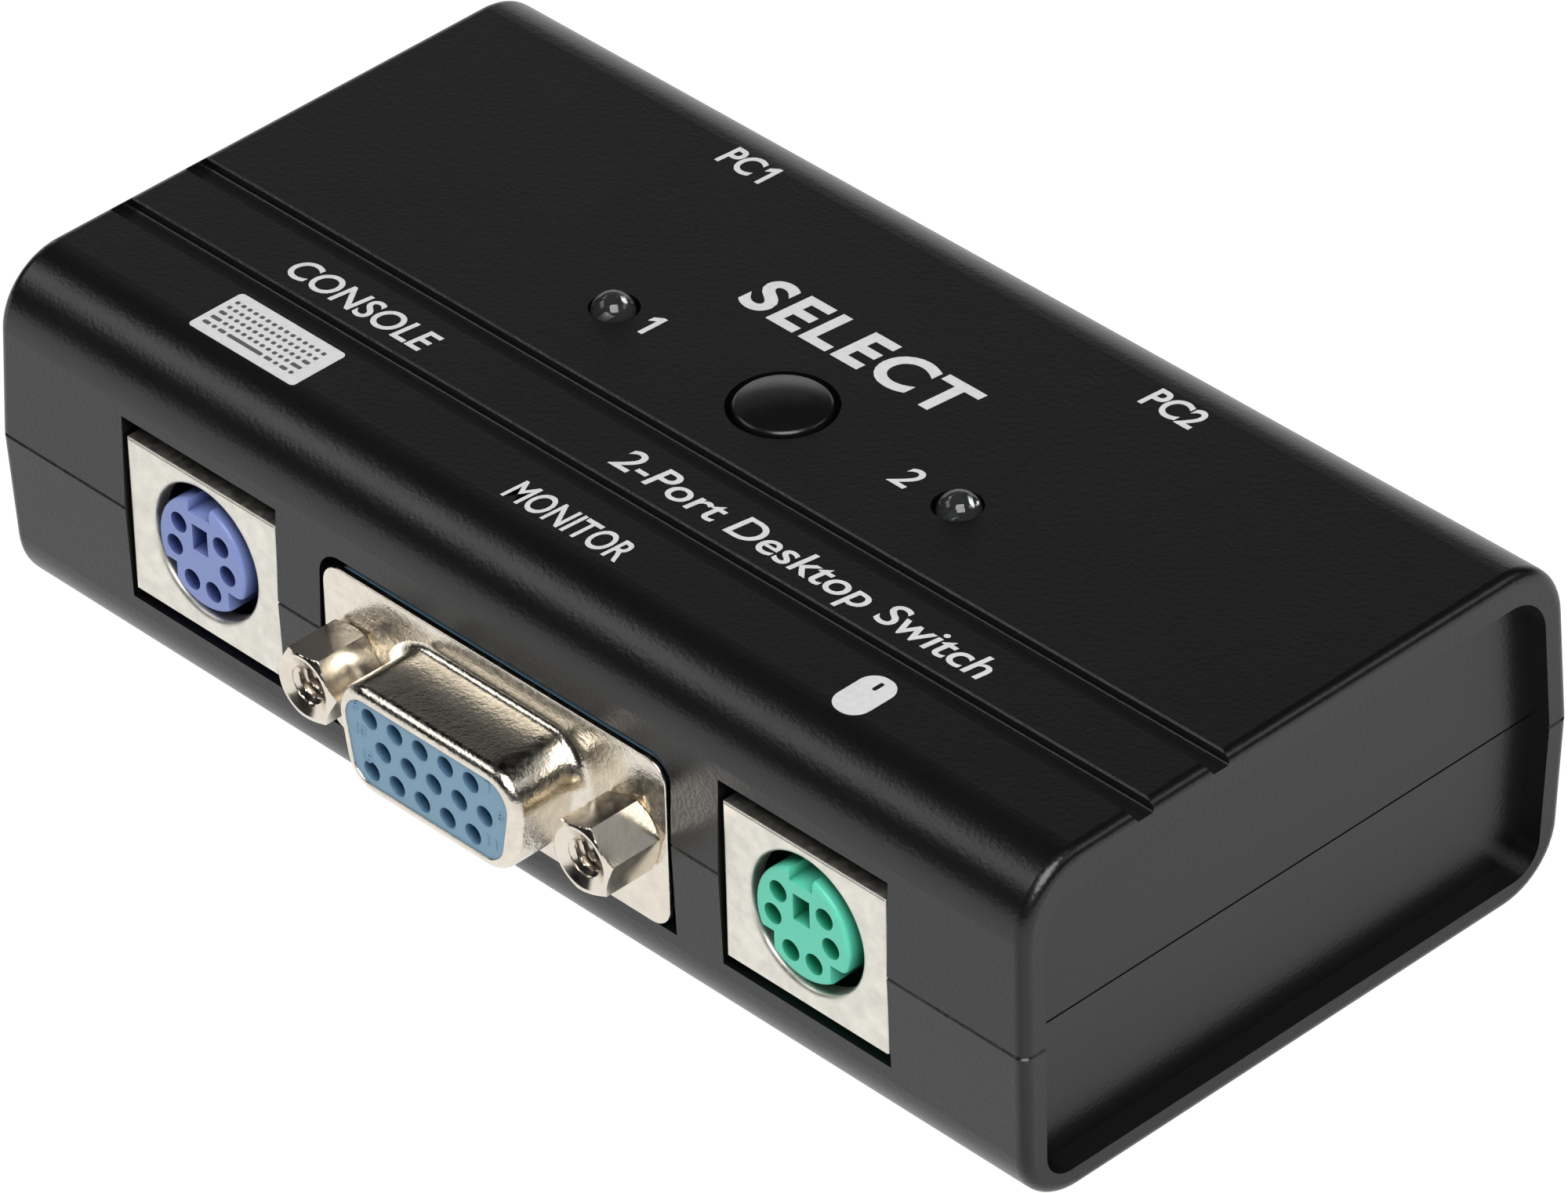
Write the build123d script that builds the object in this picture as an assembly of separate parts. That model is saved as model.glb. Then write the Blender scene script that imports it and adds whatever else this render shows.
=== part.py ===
from build123d import *
import math
import os

# A two-computer KVM switch: a two-shell plastic case around one circuit board. The front has a
# keyboard socket, a monitor port and a mouse socket, and the rear has one port per computer.
# Millimetres. X runs along the case, the front faces -Y, Z is up, and the origin is the middle
# of the area that the case rests on.

# Case
CASE_LENGTH = 92.4          # overall, at the parting line
CASE_DEPTH = 47.6           # overall, at the parting line
CASE_HEIGHT = 25.5
FOOT_PROUD = 0.6            # how far the feet stand below the case
BASE_Z = FOOT_PROUD
TOP_Z = BASE_Z + CASE_HEIGHT
PARTING_Z = BASE_Z + 12.6
DRAFT = 2.0                 # degrees, every wall, away from the parting line
TOP_EDGE_R = 5.0
BOTTOM_EDGE_R = 4.7
END_EDGE_R = 0.8
PARTING_BEVEL = 0.13
WALL = 2.0
GAP = 0.04                  # between pieces that sit against one another

# Recessed end panels
PANEL_SETBACK = 1.75
PANEL_THICK = 1.8
RIM_SIDE = 1.85
RIM_TOP = 2.4
RIM_BOTTOM = 1.75
POCKET_TOP_R = 3.0
POCKET_BOTTOM_R = 2.2
PANEL_LINE_WIDTH = 0.14     # the slot where the two halves of a panel meet
PANEL_LINE_DEPTH = 0.35

# Lap joint between the shells
LIP_THICK = 0.85
LIP_HEIGHT = 1.0
LIP_GAP = 0.1

# Grooves along the top, each a front edge in Y
GROOVE_FRONTS = (-14.2, -7.8)
GROOVE_WIDTH = 1.85
GROOVE_DEPTH = 0.75
GROOVE_SLOPE = 0.5          # run of the sloping front wall
GROOVE_FOOT_R = 0.25        # where the rear wall meets the floor
GROOVE_BEVEL = 0.12         # top edge of the rear wall
GROOVE_STOP = 0.9           # the grooves stop this short of the left end and run out at the right

# Circuit board
BOARD_LENGTH = 84.0
BOARD_DEPTH = 42.4
BOARD_THICK = 1.6
BOARD_BOTTOM = BASE_Z + 4.0
BOARD_TOP = BOARD_BOTTOM + BOARD_THICK
LEG_TIP = BOARD_BOTTOM - 1.2
LEG_HOLE_R = 0.5
LOCK_HOLE_R = 1.2

# Screws and feet
SCREW_X = 39.2
SCREW_Y = 18.4
SCREW_R = 1.25
SCREW_HEAD_R = 2.4
SCREW_HEAD_THICK = 1.5
SCREW_LENGTH = 12.0
POST_R = 2.9
BOSS_R = 3.2
FOOT_X = 30.0
FOOT_Y = 15.5
FOOT_R = 4.0
FOOT_THICK = 1.2
PAD_X = 23.0
PAD_Y = 2.0
PAD_R = 2.0

# Button and its tact switch
BUTTON_X = 1.1
BUTTON_Y = 0.6
BUTTON_HOLE_R = 3.65
CAP_R = 3.25
CAP_DOME = 0.6
CAP_RIM = 0.1               # height of the dome's edge above the case
CAP_FLANGE_R = 4.3
CAP_FLANGE_THICK = 1.2
CAP_STEM_R = 2.4
GUIDE_R = CAP_FLANGE_R + 0.05
GUIDE_LENGTH = 6.0
SWITCH_SIDE = 6.0
SWITCH_BASE_HEIGHT = 3.2
SWITCH_CAVITY_R = 2.35
SWITCH_FLOOR = 0.8
PLUNGER_R = 1.72
PLUNGER_HEIGHT = 5.0
COVER_THICK = 0.25
DOME_R = 2.1
DOME_RISE = 0.4
DOME_THICK = 0.1

# Lamps
LAMP_X = (-14.15, 16.4)
LAMP_SHIFT = 0.12           # each lamp stands a little towards its end of the case
LAMP_Y = 0.65
LAMP_R = 1.48
LAMP_PROUD = 1.0
LAMP_HEIGHT = 5.3
LAMP_FLANGE_R = 1.85
LAMP_HOLE_R = 1.68
LAMP_PITCH = 2.54
LAMP_LEAD = 0.5
SPACER_R = 2.2

# D-shaped 15-pin ports
PORT_Z = BASE_Z + 12.21
FRONT_PORT_X = 0.3
REAR_PORT_X = 19.1
PORT_FACE_Y = CASE_DEPTH / 2
FLANGE_W = 30.81
FLANGE_H = 12.55
FLANGE_T = 0.5
FLANGE_R = 1.6
FLANGE_DROP = 0.25                # middle of the flange, below the middle of the D
SHELL_T = 0.4
SHELL_REACH = 5.7
D_ANGLE = 10.0
SOCKET_D = (16.33, 7.90, 2.6)     # width, height and corner radius of the outside of the shell
PLUG_D = (17.7, 9.1, 3.0)
NOSE_R = 0.7
NOSE_LIP = 0.75
ROOT_R = 0.6
PIN_PITCH = 2.29
ROW_PITCH = 1.98
ROW_OFFSET = 0.57
PIN_COLUMNS = 5
SOCKET_HOLE_R = 0.62
FUNNEL = (0.73, 0.6, 10.0)         # mouth radius, depth and taper in degrees of each hole's entry
PLUG_PIN_R = 0.39
SLEEVE_R = 0.56
SLEEVE_BORE_R = 0.4
TAIL = 0.5
PORT_BODY_W = 19.0
PORT_BODY_BACK = 8.5
TAIL_BACKS = (13.6, 11.6, 9.6)    # top row to bottom row, behind the port's face
INSULATOR_PLATE = 1.5
INSULATOR_MARGIN = 0.6            # how far the plate's ends stop short of the flange's
CORE_RECESS = 0.12                # the socket's face, behind the collar's nose
SCREWLOCK_SPACING = 24.99
SCREWLOCK_FLATS = 4.76
SCREWLOCK_LENGTH = 4.5
SCREWLOCK_BORE_R = 1.22           # pitch radius of a 4-40 thread
SCREWLOCK_DEPTH = 4.2
SCREWLOCK_BEVEL = 0.3             # outer edges of both ends
SCREWLOCK_MOUTH = 0.6             # chamfer at the bore's mouth
MONITOR_LOCK_TURNS = (4, 14)      # degrees, left and right
STUD_R = 1.38
STUD_LENGTH = 6.0
LOCK_PLATE_T = 0.8
WINDOW_W = 31.6
WINDOW_SHIFT = -0.05              # middle of the window, to the right of its port
WINDOW_LOW = BASE_Z + 5.5
WINDOW_HIGH = BASE_Z + 18.8
WINDOW_R = 1.8

# Round six-pin sockets
DIN_X = (-26.8, 27.4)
DIN_Z = BASE_Z + 12.55
DIN_FACE_Y = 23.5
DIN_PLATE_W = 14.0
DIN_PLATE_LOW = BASE_Z + 6.45
DIN_PLATE_HIGH = BASE_Z + 18.15
DIN_SHEET = 0.3
DIN_BEND_R = 0.2
DIN_OPENING_R = 4.8
DIN_LIP_R = 0.45                  # rounded edge of the opening
DIN_COLLAR = 1.2                  # how far the opening's drawn edge reaches in
DIN_RING_IN_R = 4.85
DIN_RING_OUT_R = 5.1
DIN_CORE_R = 4.0
DIN_CORE_PROUD = 0.3
DIN_CORE_EDGE_R = 0.3
DIN_CAVITY = 9.0
DIN_DEPTH = 12.5
DIN_HOLE_R = 0.74
DIN_PINS = ((1.98, 1.62, 16.0), (2.48, -0.35, 14.6), (1.0, -2.35, 13.2))  # half spacing, height, tail
DIN_KEY = (1.43, 1.97, 1.17)      # width, height and middle height of the square key hole
DIN_GROOVE = (2.0, 3.0)           # width and floor height of the key groove on top
DIN_NOTCH = (2.42, -1.65)         # inner side and top of each lower notch
DIN_WINDOW_W = 14.5
DIN_WINDOW_LOW = BASE_Z + 5.6
DIN_WINDOW_HIGH = BASE_Z + 19.65

# Chips and small parts on the board: middle X, middle Y, turned by 90 degrees
CHIP_STAND = 0.1
LEAD_PITCH = 1.27
LEAD_WIDTH = 0.4
LEAD_THICK = 0.2
LEAD_REACH = 1.0
CONTROLLER = (18.0, 7.5, 2.35, 14)          # length, width, height, leads a side
CONTROLLER_PLACE = (-29.0, 0.5, False)
VIDEO_CHIP = (9.9, 3.9, 1.5, 8)
VIDEO_CHIP_PLACES = ((-6.2, 0.5, True), (8.6, 0.5, True), (24.5, -3.2, False), (24.5, 5.2, False))
CRYSTAL_SIZE = (10.2, 3.8, 3.4)
CRYSTAL_PLACE = (-15.6, 6.9)
CRYSTAL_PITCH = 4.88
CAN_R = 2.5
CAN_HEIGHT = 7.0
CAN_PITCH = 2.0
CAN_PLACES = ((35.0, -2.5), (35.0, 4.5))
CERAMIC_SIZE = (1.6, 0.8, 0.8)
CERAMIC_PLACES = ((-38.5, 6.5), (-38.5, -4.5), (-25.0, 8.0), (-2.2, 7.2), (4.5, 7.2), (13.2, 6.9),
                  (17.4, 7.3), (31.0, 8.3), (-10.4, -7.6), (12.5, -7.6))
RESISTOR_SIZE = (1.6, 0.8, 0.45)
RESISTOR_ROWS = ((-19.5, -7.0), (-2.4, -7.4), (14.0, 8.6))   # start of each row of four
RESISTOR_PITCH = 2.2

SIDES = (-1, 1)


def slope(z):
    """How far the draft brings a wall in at height z."""
    return abs(z - PARTING_Z) * math.tan(math.radians(DRAFT))


def slab(sketch, out_from, out_to):
    """A sketch in X and Z, swept between two distances towards -Y."""
    return extrude(Plane.XZ.offset(out_from) * sketch, out_to - out_from)


def block(x0, x1, y0, y1, z0, z1):
    """A box between six planes."""
    size = (abs(x1 - x0), abs(y1 - y0), abs(z1 - z0))
    return Pos((x0 + x1) / 2, (y0 + y1) / 2, (z0 + z1) / 2) * Box(*size)


def post(x, y, radius, z0, z1):
    """An upright cylinder between two heights."""
    return Pos(x, y, (z0 + z1) / 2) * Cylinder(radius, z1 - z0)


def rod(x, z, radius, out_from, out_to):
    """A cylinder along Y between two distances towards -Y."""
    return slab(Pos(x, z) * Circle(radius), out_from, out_to)


def corner_places(x, y):
    """Four places mirrored about both axes."""
    return [(i * x, j * y) for i in SIDES for j in SIDES]


def at_port(piece, x, face_y, z, rear):
    """Moves a piece built about its own face to the front or rear of the case."""
    if rear:
        return Pos(x, face_y, z) * Rot(0, 0, 180) * piece
    return Pos(x, -face_y, z) * piece


# Case ------------------------------------------------------------------------------------------

def half_block(upper, inset, roof_inset, end_inset, edge_r):
    """Half of the case's drafted block, from the parting line to the top or the bottom."""
    z_end = TOP_Z - roof_inset if upper else BASE_Z + roof_inset
    wide = CASE_DEPTH / 2 - inset
    narrow = wide - slope(z_end)
    section = make_face(Polyline((-wide, PARTING_Z), (wide, PARTING_Z), (narrow, z_end),
                                 (-narrow, z_end), close=True))
    corners = section.vertices().filter_by(lambda v: abs(v.Y - z_end) < 0.001)
    bar = extrude(Plane.YZ * fillet(corners, edge_r), CASE_LENGTH, both=True)
    long = CASE_LENGTH / 2 - end_inset
    short = long - slope(z_end)
    side = make_face(Polyline((-long, PARTING_Z), (long, PARTING_Z), (short, z_end),
                              (-short, z_end), close=True))
    return bar & extrude(Plane.XZ * side, CASE_DEPTH, both=True)


def outer_half(upper):
    """The solid outside of one shell, with its rounded ends and bevelled parting edge."""
    edge_r = TOP_EDGE_R if upper else BOTTOM_EDGE_R
    body = half_block(upper, 0, 0, 0, edge_r)
    for pick in (0, -1):
        end = body.faces().sort_by(Axis.X)[pick]
        rim = end.edges().filter_by(lambda e: abs(e.center().Z - PARTING_Z) > 0.01)
        body = fillet(rim, END_EDGE_R)
    parting = body.faces().sort_by(Axis.Z)[0 if upper else -1]
    return chamfer(parting.edges(), PARTING_BEVEL)


def end_pockets():
    """The space in front of both recessed end panels, which have the same draft as the walls."""
    z_low = BASE_Z + RIM_BOTTOM
    z_high = TOP_Z - RIM_TOP
    half = [(CASE_DEPTH / 2 - RIM_SIDE - slope(z), z) for z in (z_low, PARTING_Z, z_high)]
    outline = half + [(-y, z) for y, z in reversed(half)]
    face = make_face(Polyline(*outline, close=True))
    face = fillet(face.vertices().filter_by(lambda v: abs(v.Y - z_high) < 0.001), POCKET_TOP_R)
    face = fillet(face.vertices().filter_by(lambda v: abs(v.Y - z_low) < 0.001), POCKET_BOTTOM_R)
    panel_x = CASE_LENGTH / 2 - PANEL_SETBACK
    beyond = CASE_LENGTH / 2 + 1.0
    drafted = make_face(Polyline((panel_x, PARTING_Z), (panel_x - slope(TOP_Z), TOP_Z),
                                 (beyond, TOP_Z), (beyond, BASE_Z),
                                 (panel_x - slope(BASE_Z), BASE_Z), close=True))
    pocket = extrude(Plane.YZ * face, beyond) & extrude(Plane.XZ * drafted, CASE_DEPTH, both=True)
    return pocket + mirror(pocket, Plane.YZ)


def panel_lines():
    """Narrow slots where the two halves of each end panel meet."""
    panel_x = CASE_LENGTH / 2 - PANEL_SETBACK
    line = Box(2 * PANEL_LINE_DEPTH, CASE_DEPTH - 2 * RIM_SIDE, PANEL_LINE_WIDTH)
    return [Pos(i * panel_x, 0, PARTING_Z) * line for i in SIDES]


def lip_ring(grow, height):
    """The ring that the bottom shell pushes up inside the top shell."""
    half_x = CASE_LENGTH / 2 - PANEL_SETBACK - PANEL_THICK + LIP_THICK
    half_y = CASE_DEPTH / 2 - WALL + LIP_THICK
    outer = block(-half_x - grow, half_x + grow, -half_y - grow, half_y + grow,
                  PARTING_Z - 1.0, PARTING_Z + height)
    half_x -= LIP_THICK
    half_y -= LIP_THICK
    return outer - block(-half_x, half_x, -half_y, half_y, PARTING_Z - 2.0, PARTING_Z + 2.0)


def windows():
    """The openings in the front and rear walls that the ports show through."""
    cuts = []
    height = WINDOW_HIGH - WINDOW_LOW
    middle = (WINDOW_HIGH + WINDOW_LOW) / 2
    port = Rectangle(WINDOW_W, height)
    port = fillet(port.vertices().group_by(Axis.Y)[-1], WINDOW_R)
    reach = 2 * WALL
    for x, rear in ((FRONT_PORT_X, False), (-REAR_PORT_X, True), (REAR_PORT_X, True)):
        shift = -WINDOW_SHIFT if rear else WINDOW_SHIFT
        cuts.append(at_port(slab(port, -reach, reach), x + shift, PORT_FACE_Y, middle, rear))
    round_port = Rectangle(DIN_WINDOW_W, DIN_WINDOW_HIGH - DIN_WINDOW_LOW)
    middle = (DIN_WINDOW_HIGH + DIN_WINDOW_LOW) / 2
    for x in DIN_X:
        cuts.append(at_port(slab(round_port, -reach, reach), x, PORT_FACE_Y, middle, False))
    return cuts


def groove(front_y):
    """One lengthwise groove: a sloping front wall, a flat floor and an upright rear wall."""
    floor = TOP_Z - GROOVE_DEPTH
    rear_y = front_y + GROOVE_WIDTH
    bevel_y = rear_y + GROOVE_BEVEL
    above = TOP_Z + 1.0
    face = make_face(Polyline((front_y, above), (front_y, TOP_Z), (front_y + GROOVE_SLOPE, floor),
                              (rear_y, floor), (rear_y, TOP_Z - GROOVE_BEVEL), (bevel_y, TOP_Z),
                              (bevel_y, above), close=True))
    foot = face.vertices().sort_by_distance((rear_y, floor, 0))[0]
    face = fillet(foot, GROOVE_FOOT_R)
    return extrude(Plane.YZ.offset(GROOVE_STOP - CASE_LENGTH / 2) * face, CASE_LENGTH)


def top_shell():
    """The upper half of the case, with its button guide, lamp collars and screw posts."""
    shell = outer_half(True) - half_block(True, WALL, WALL, PANEL_SETBACK + PANEL_THICK,
                                          TOP_EDGE_R - WALL)
    under_roof = TOP_Z - WALL
    shell += post(BUTTON_X, BUTTON_Y, GUIDE_R + 1.2, under_roof - GUIDE_LENGTH, under_roof + 0.5)
    shell -= post(BUTTON_X, BUTTON_Y, GUIDE_R, under_roof - 2 * GUIDE_LENGTH, under_roof)
    shell -= post(BUTTON_X, BUTTON_Y, BUTTON_HOLE_R, under_roof - 1.0, TOP_Z + 1.0)
    for x in LAMP_X:
        shell += post(x, LAMP_Y, 3.2, under_roof - 2.0, under_roof + 0.5)
        shell -= post(x, LAMP_Y, 2.2, under_roof - 3.0, under_roof)
        shell -= post(x, LAMP_Y, LAMP_HOLE_R, under_roof - 1.0, TOP_Z + 1.0)
    for x, y in corner_places(SCREW_X, SCREW_Y):
        shell += post(x, y, POST_R, BOARD_TOP + GAP, TOP_Z - WALL / 2)
        shell -= post(x, y, SCREW_R + 0.03, BOARD_TOP - 1.0, BOARD_TOP + SCREW_LENGTH)
    shell -= lip_ring(LIP_GAP, LIP_HEIGHT + LIP_GAP) & block(-60, 60, -40, 40, PARTING_Z, TOP_Z)
    shell -= end_pockets()
    for cut in panel_lines() + windows() + [groove(y) for y in GROOVE_FRONTS]:
        shell -= cut
    return shell


def bottom_shell():
    """The lower half of the case, with its screw bosses, board pads and foot recesses."""
    shell = outer_half(False) - half_block(False, WALL, WALL, PANEL_SETBACK + PANEL_THICK,
                                           BOTTOM_EDGE_R - WALL)
    shell += lip_ring(0, LIP_HEIGHT)
    floor = BASE_Z + WALL
    for x, y in corner_places(SCREW_X, SCREW_Y):
        shell += post(x, y, BOSS_R, floor - 0.5, BOARD_BOTTOM - GAP)
        shell -= post(x, y, SCREW_R + 0.2, BASE_Z, BOARD_BOTTOM)
        shell -= post(x, y, SCREW_HEAD_R + 0.2, BASE_Z - 1.0, BASE_Z + SCREW_HEAD_THICK + 0.1)
    for x in (-PAD_X, PAD_X):
        shell += post(x, PAD_Y, PAD_R, floor - 0.5, BOARD_BOTTOM - GAP)
    for x, y in corner_places(FOOT_X, FOOT_Y):
        shell -= post(x, y, FOOT_R + 0.1, BASE_Z - 1.0, FOOT_THICK + 0.02)
    shell -= end_pockets()
    for cut in panel_lines() + windows():
        shell -= cut
    return shell


def case_screws():
    """Four cross-head screws, driven up through the bottom shell and the board."""
    screws = []
    seat = BASE_Z + SCREW_HEAD_THICK + 0.08
    for x, y in corner_places(SCREW_X, SCREW_Y):
        head = post(x, y, SCREW_HEAD_R, seat - SCREW_HEAD_THICK, seat)
        head = fillet(head.edges().sort_by(Axis.Z)[0], 0.5)
        screw = head + post(x, y, SCREW_R, seat - 0.2, seat + SCREW_LENGTH)
        under = seat - SCREW_HEAD_THICK
        screw -= block(x - 1.3, x + 1.3, y - 0.3, y + 0.3, under - 0.5, under + 0.8)
        screw -= block(x - 0.3, x + 0.3, y - 1.3, y + 1.3, under - 0.5, under + 0.8)
        screws.append(screw)
    return screws


def rubber_feet():
    """Four round feet in the recesses of the bottom shell."""
    feet = []
    for x, y in corner_places(FOOT_X, FOOT_Y):
        foot = post(x, y, FOOT_R, 0, FOOT_THICK)
        feet.append(fillet(foot.edges().sort_by(Axis.Z)[0], 0.3))
    return feet


# Button and switch -----------------------------------------------------------------------------

def select_button():
    """A domed cap with a retaining flange and a long stem that reaches down to the switch."""
    edge = TOP_Z + CAP_RIM
    dome_r = (CAP_R ** 2 + CAP_DOME ** 2) / (2 * CAP_DOME)
    flange_top = TOP_Z - WALL - 0.1
    cap = post(BUTTON_X, BUTTON_Y, CAP_R, flange_top - 0.5, edge + CAP_DOME)
    cap &= Pos(BUTTON_X, BUTTON_Y, edge + CAP_DOME - dome_r) * Sphere(dome_r)
    rims = cap.edges().filter_by(GeomType.CIRCLE).filter_by(lambda e: abs(e.radius - CAP_R) < 0.001)
    cap = fillet(rims.sort_by(Axis.Z)[-1], 0.35)
    cap += post(BUTTON_X, BUTTON_Y, CAP_FLANGE_R, flange_top - CAP_FLANGE_THICK, flange_top)
    stem_low = BOARD_TOP + PLUNGER_HEIGHT + 0.02
    cap += post(BUTTON_X, BUTTON_Y, CAP_STEM_R, stem_low, flange_top - 0.5)
    hollow = post(BUTTON_X, BUTTON_Y, CAP_STEM_R - 0.9, stem_low + 1.2, TOP_Z - 1.2)
    return cap - hollow


def switch_base():
    """The square moulded base of the tact switch, open at the top."""
    half = SWITCH_SIDE / 2
    base = block(BUTTON_X - half, BUTTON_X + half, BUTTON_Y - half, BUTTON_Y + half,
                 BOARD_TOP, BOARD_TOP + SWITCH_BASE_HEIGHT)
    base = fillet(base.edges().filter_by(Axis.Z), 0.4)
    return base - post(BUTTON_X, BUTTON_Y, SWITCH_CAVITY_R, BOARD_TOP + SWITCH_FLOOR,
                       BOARD_TOP + SWITCH_BASE_HEIGHT + 1.0)


def switch_cover():
    """The sheet-metal cover that keeps the plunger in."""
    half = SWITCH_SIDE / 2 - 0.1
    low = BOARD_TOP + SWITCH_BASE_HEIGHT + 0.01
    cover = block(BUTTON_X - half, BUTTON_X + half, BUTTON_Y - half, BUTTON_Y + half,
                  low, low + COVER_THICK)
    cover = fillet(cover.edges().filter_by(Axis.Z), 0.4)
    return cover - post(BUTTON_X, BUTTON_Y, PLUNGER_R + 0.05, low - 1.0, low + 1.0)


def switch_plunger():
    """The switch's moving stem, with a collar under the cover and a nub over the snap dome."""
    crown = BOARD_TOP + SWITCH_FLOOR + DOME_RISE + 0.05
    collar_top = BOARD_TOP + SWITCH_BASE_HEIGHT - 0.02
    plunger = post(BUTTON_X, BUTTON_Y, PLUNGER_R, collar_top - 0.3, BOARD_TOP + PLUNGER_HEIGHT)
    plunger += post(BUTTON_X, BUTTON_Y, SWITCH_CAVITY_R - 0.06, crown + 0.5, collar_top)
    return plunger + post(BUTTON_X, BUTTON_Y, 0.8, crown, crown + 0.6)


def switch_dome():
    """The thin metal snap disc on the floor of the switch."""
    floor = BOARD_TOP + SWITCH_FLOOR + 0.01
    rise = DOME_RISE - 0.01
    radius = (DOME_R ** 2 + rise ** 2) / (2 * rise)
    centre = Pos(BUTTON_X, BUTTON_Y, floor + rise - radius)
    shell = centre * Sphere(radius) - centre * Sphere(radius - DOME_THICK)
    return shell & post(BUTTON_X, BUTTON_Y, DOME_R, floor, floor + 1.0)


def switch_legs():
    """Middle of each of the switch's four legs."""
    return [(BUTTON_X + i * 3.25, BUTTON_Y + j * 2.25) for i in SIDES for j in SIDES]


def switch_terminals():
    """Four legs beside the base, down through the board."""
    legs = []
    for x, y in switch_legs():
        legs.append(block(x - 0.15, x + 0.15, y - 0.35, y + 0.35, LEG_TIP, BOARD_TOP + 1.6))
    return legs


# Lamps -----------------------------------------------------------------------------------------

def lamp_x(index):
    """Middle of a lamp: its hole's middle plus the small shift towards its end of the case."""
    return LAMP_X[index] + math.copysign(LAMP_SHIFT, LAMP_X[index])


def lamp_lead_parts(index, grow):
    """The two leads of a lamp, the left one with its post and the right one with its cup."""
    x = lamp_x(index)
    half = LAMP_LEAD / 2 + grow
    base = TOP_Z + LAMP_PROUD - LAMP_HEIGHT
    parts = []
    for side, width, rise in ((-1, 0.35, 3.4), (1, 0.6, 3.1)):
        middle = x + side * LAMP_PITCH / 2
        low = block(middle - half, middle + half, LAMP_Y - half, LAMP_Y + half,
                    LEG_TIP, base + 1.6 + grow)
        inner = x + side * (0.25 - grow)
        bridge = block(inner, middle + side * half, LAMP_Y - half, LAMP_Y + half,
                       base + 1.0 - grow, base + 1.6 + grow)
        head = block(inner, x + side * (0.25 + width + grow), LAMP_Y - half, LAMP_Y + half,
                     base + 1.0, base + rise + grow)
        parts.append(low + bridge + head)
    return parts


def lamp_lens(index):
    """The clear moulded body of a lamp: a flange, a barrel and a round dome."""
    x = lamp_x(index)
    base = TOP_Z + LAMP_PROUD - LAMP_HEIGHT
    barrel_top = base + LAMP_HEIGHT - LAMP_R
    lens = post(x, LAMP_Y, LAMP_FLANGE_R, base, base + 1.0)
    lens += post(x, LAMP_Y, LAMP_R, base, barrel_top)
    lens += Pos(x, LAMP_Y, barrel_top) * Sphere(LAMP_R)
    for lead in lamp_lead_parts(index, 0.02):
        lens -= lead
    return lens


def lamp_spacer(index):
    """The tube that holds a lamp at its height above the board."""
    x = lamp_x(index)
    spacer = post(x, LAMP_Y, SPACER_R, BOARD_TOP + 0.02, TOP_Z + LAMP_PROUD - LAMP_HEIGHT - 0.02)
    for side in SIDES:
        spacer -= post(x + side * LAMP_PITCH / 2, LAMP_Y, 0.45, BOARD_TOP - 1.0, TOP_Z)
    return spacer


# D-shaped ports --------------------------------------------------------------------------------

def d_profile(width, height, radius, inset=0):
    """A D outline with its wide side up, given its overall width."""
    angle = math.radians(D_ANGLE)
    width -= 2 * inset
    height -= 2 * inset
    radius -= inset
    top = width / 2 + radius * (math.tan(angle) + 1 / math.cos(angle) - 1)
    bottom = top - height * math.tan(angle)
    face = make_face(Polyline((-top, height / 2), (top, height / 2), (bottom, -height / 2),
                              (-bottom, -height / 2), close=True))
    return fillet(face.vertices(), radius)


def port_pins():
    """X and Z of each pin about the middle of a port, with how far back its tail drops."""
    pins = []
    for row, back in enumerate(TAIL_BACKS):
        offset = ROW_OFFSET if row == 1 else -ROW_OFFSET
        for column in range(PIN_COLUMNS):
            x = offset + (column - (PIN_COLUMNS - 1) / 2) * PIN_PITCH
            pins.append((x, (1 - row) * ROW_PITCH, back))
    return pins


def port_front_shell(outline, plug):
    """The stamped flange and D-shaped collar of a port."""
    collar = slab(d_profile(*outline), -FLANGE_T, SHELL_REACH)
    if not plug:
        collar = fillet(collar.faces().sort_by(Axis.Y)[0].edges(), NOSE_R)
    flange = Pos(0, -FLANGE_DROP) * RectangleRounded(FLANGE_W, FLANGE_H, FLANGE_R)
    shell = slab(flange, -FLANGE_T, 0) + collar
    face = shell.faces().filter_by(Plane.XZ).filter_by(lambda f: abs(f.center().Y) < 0.001)[0]
    shell = fillet(face.inner_wires()[0].edges(), ROOT_R)
    hollow_to = SHELL_REACH + 1.0 if plug else SHELL_REACH - SHELL_T
    shell -= slab(d_profile(*outline, inset=SHELL_T), -1.0, hollow_to)
    if not plug:
        shell -= slab(d_profile(*outline, inset=NOSE_LIP), -1.0, SHELL_REACH + 1.0)
    for side in SIDES:
        shell -= rod(side * SCREWLOCK_SPACING / 2, 0, STUD_R + 0.15, -1.0, 1.0)
    return shell


def pin_holes(radius):
    """Fifteen holes through a port's mouldings."""
    return [rod(x, z, radius, -PORT_BODY_BACK - 1.0, SHELL_REACH + 1.0) for x, z, _ in port_pins()]


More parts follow.
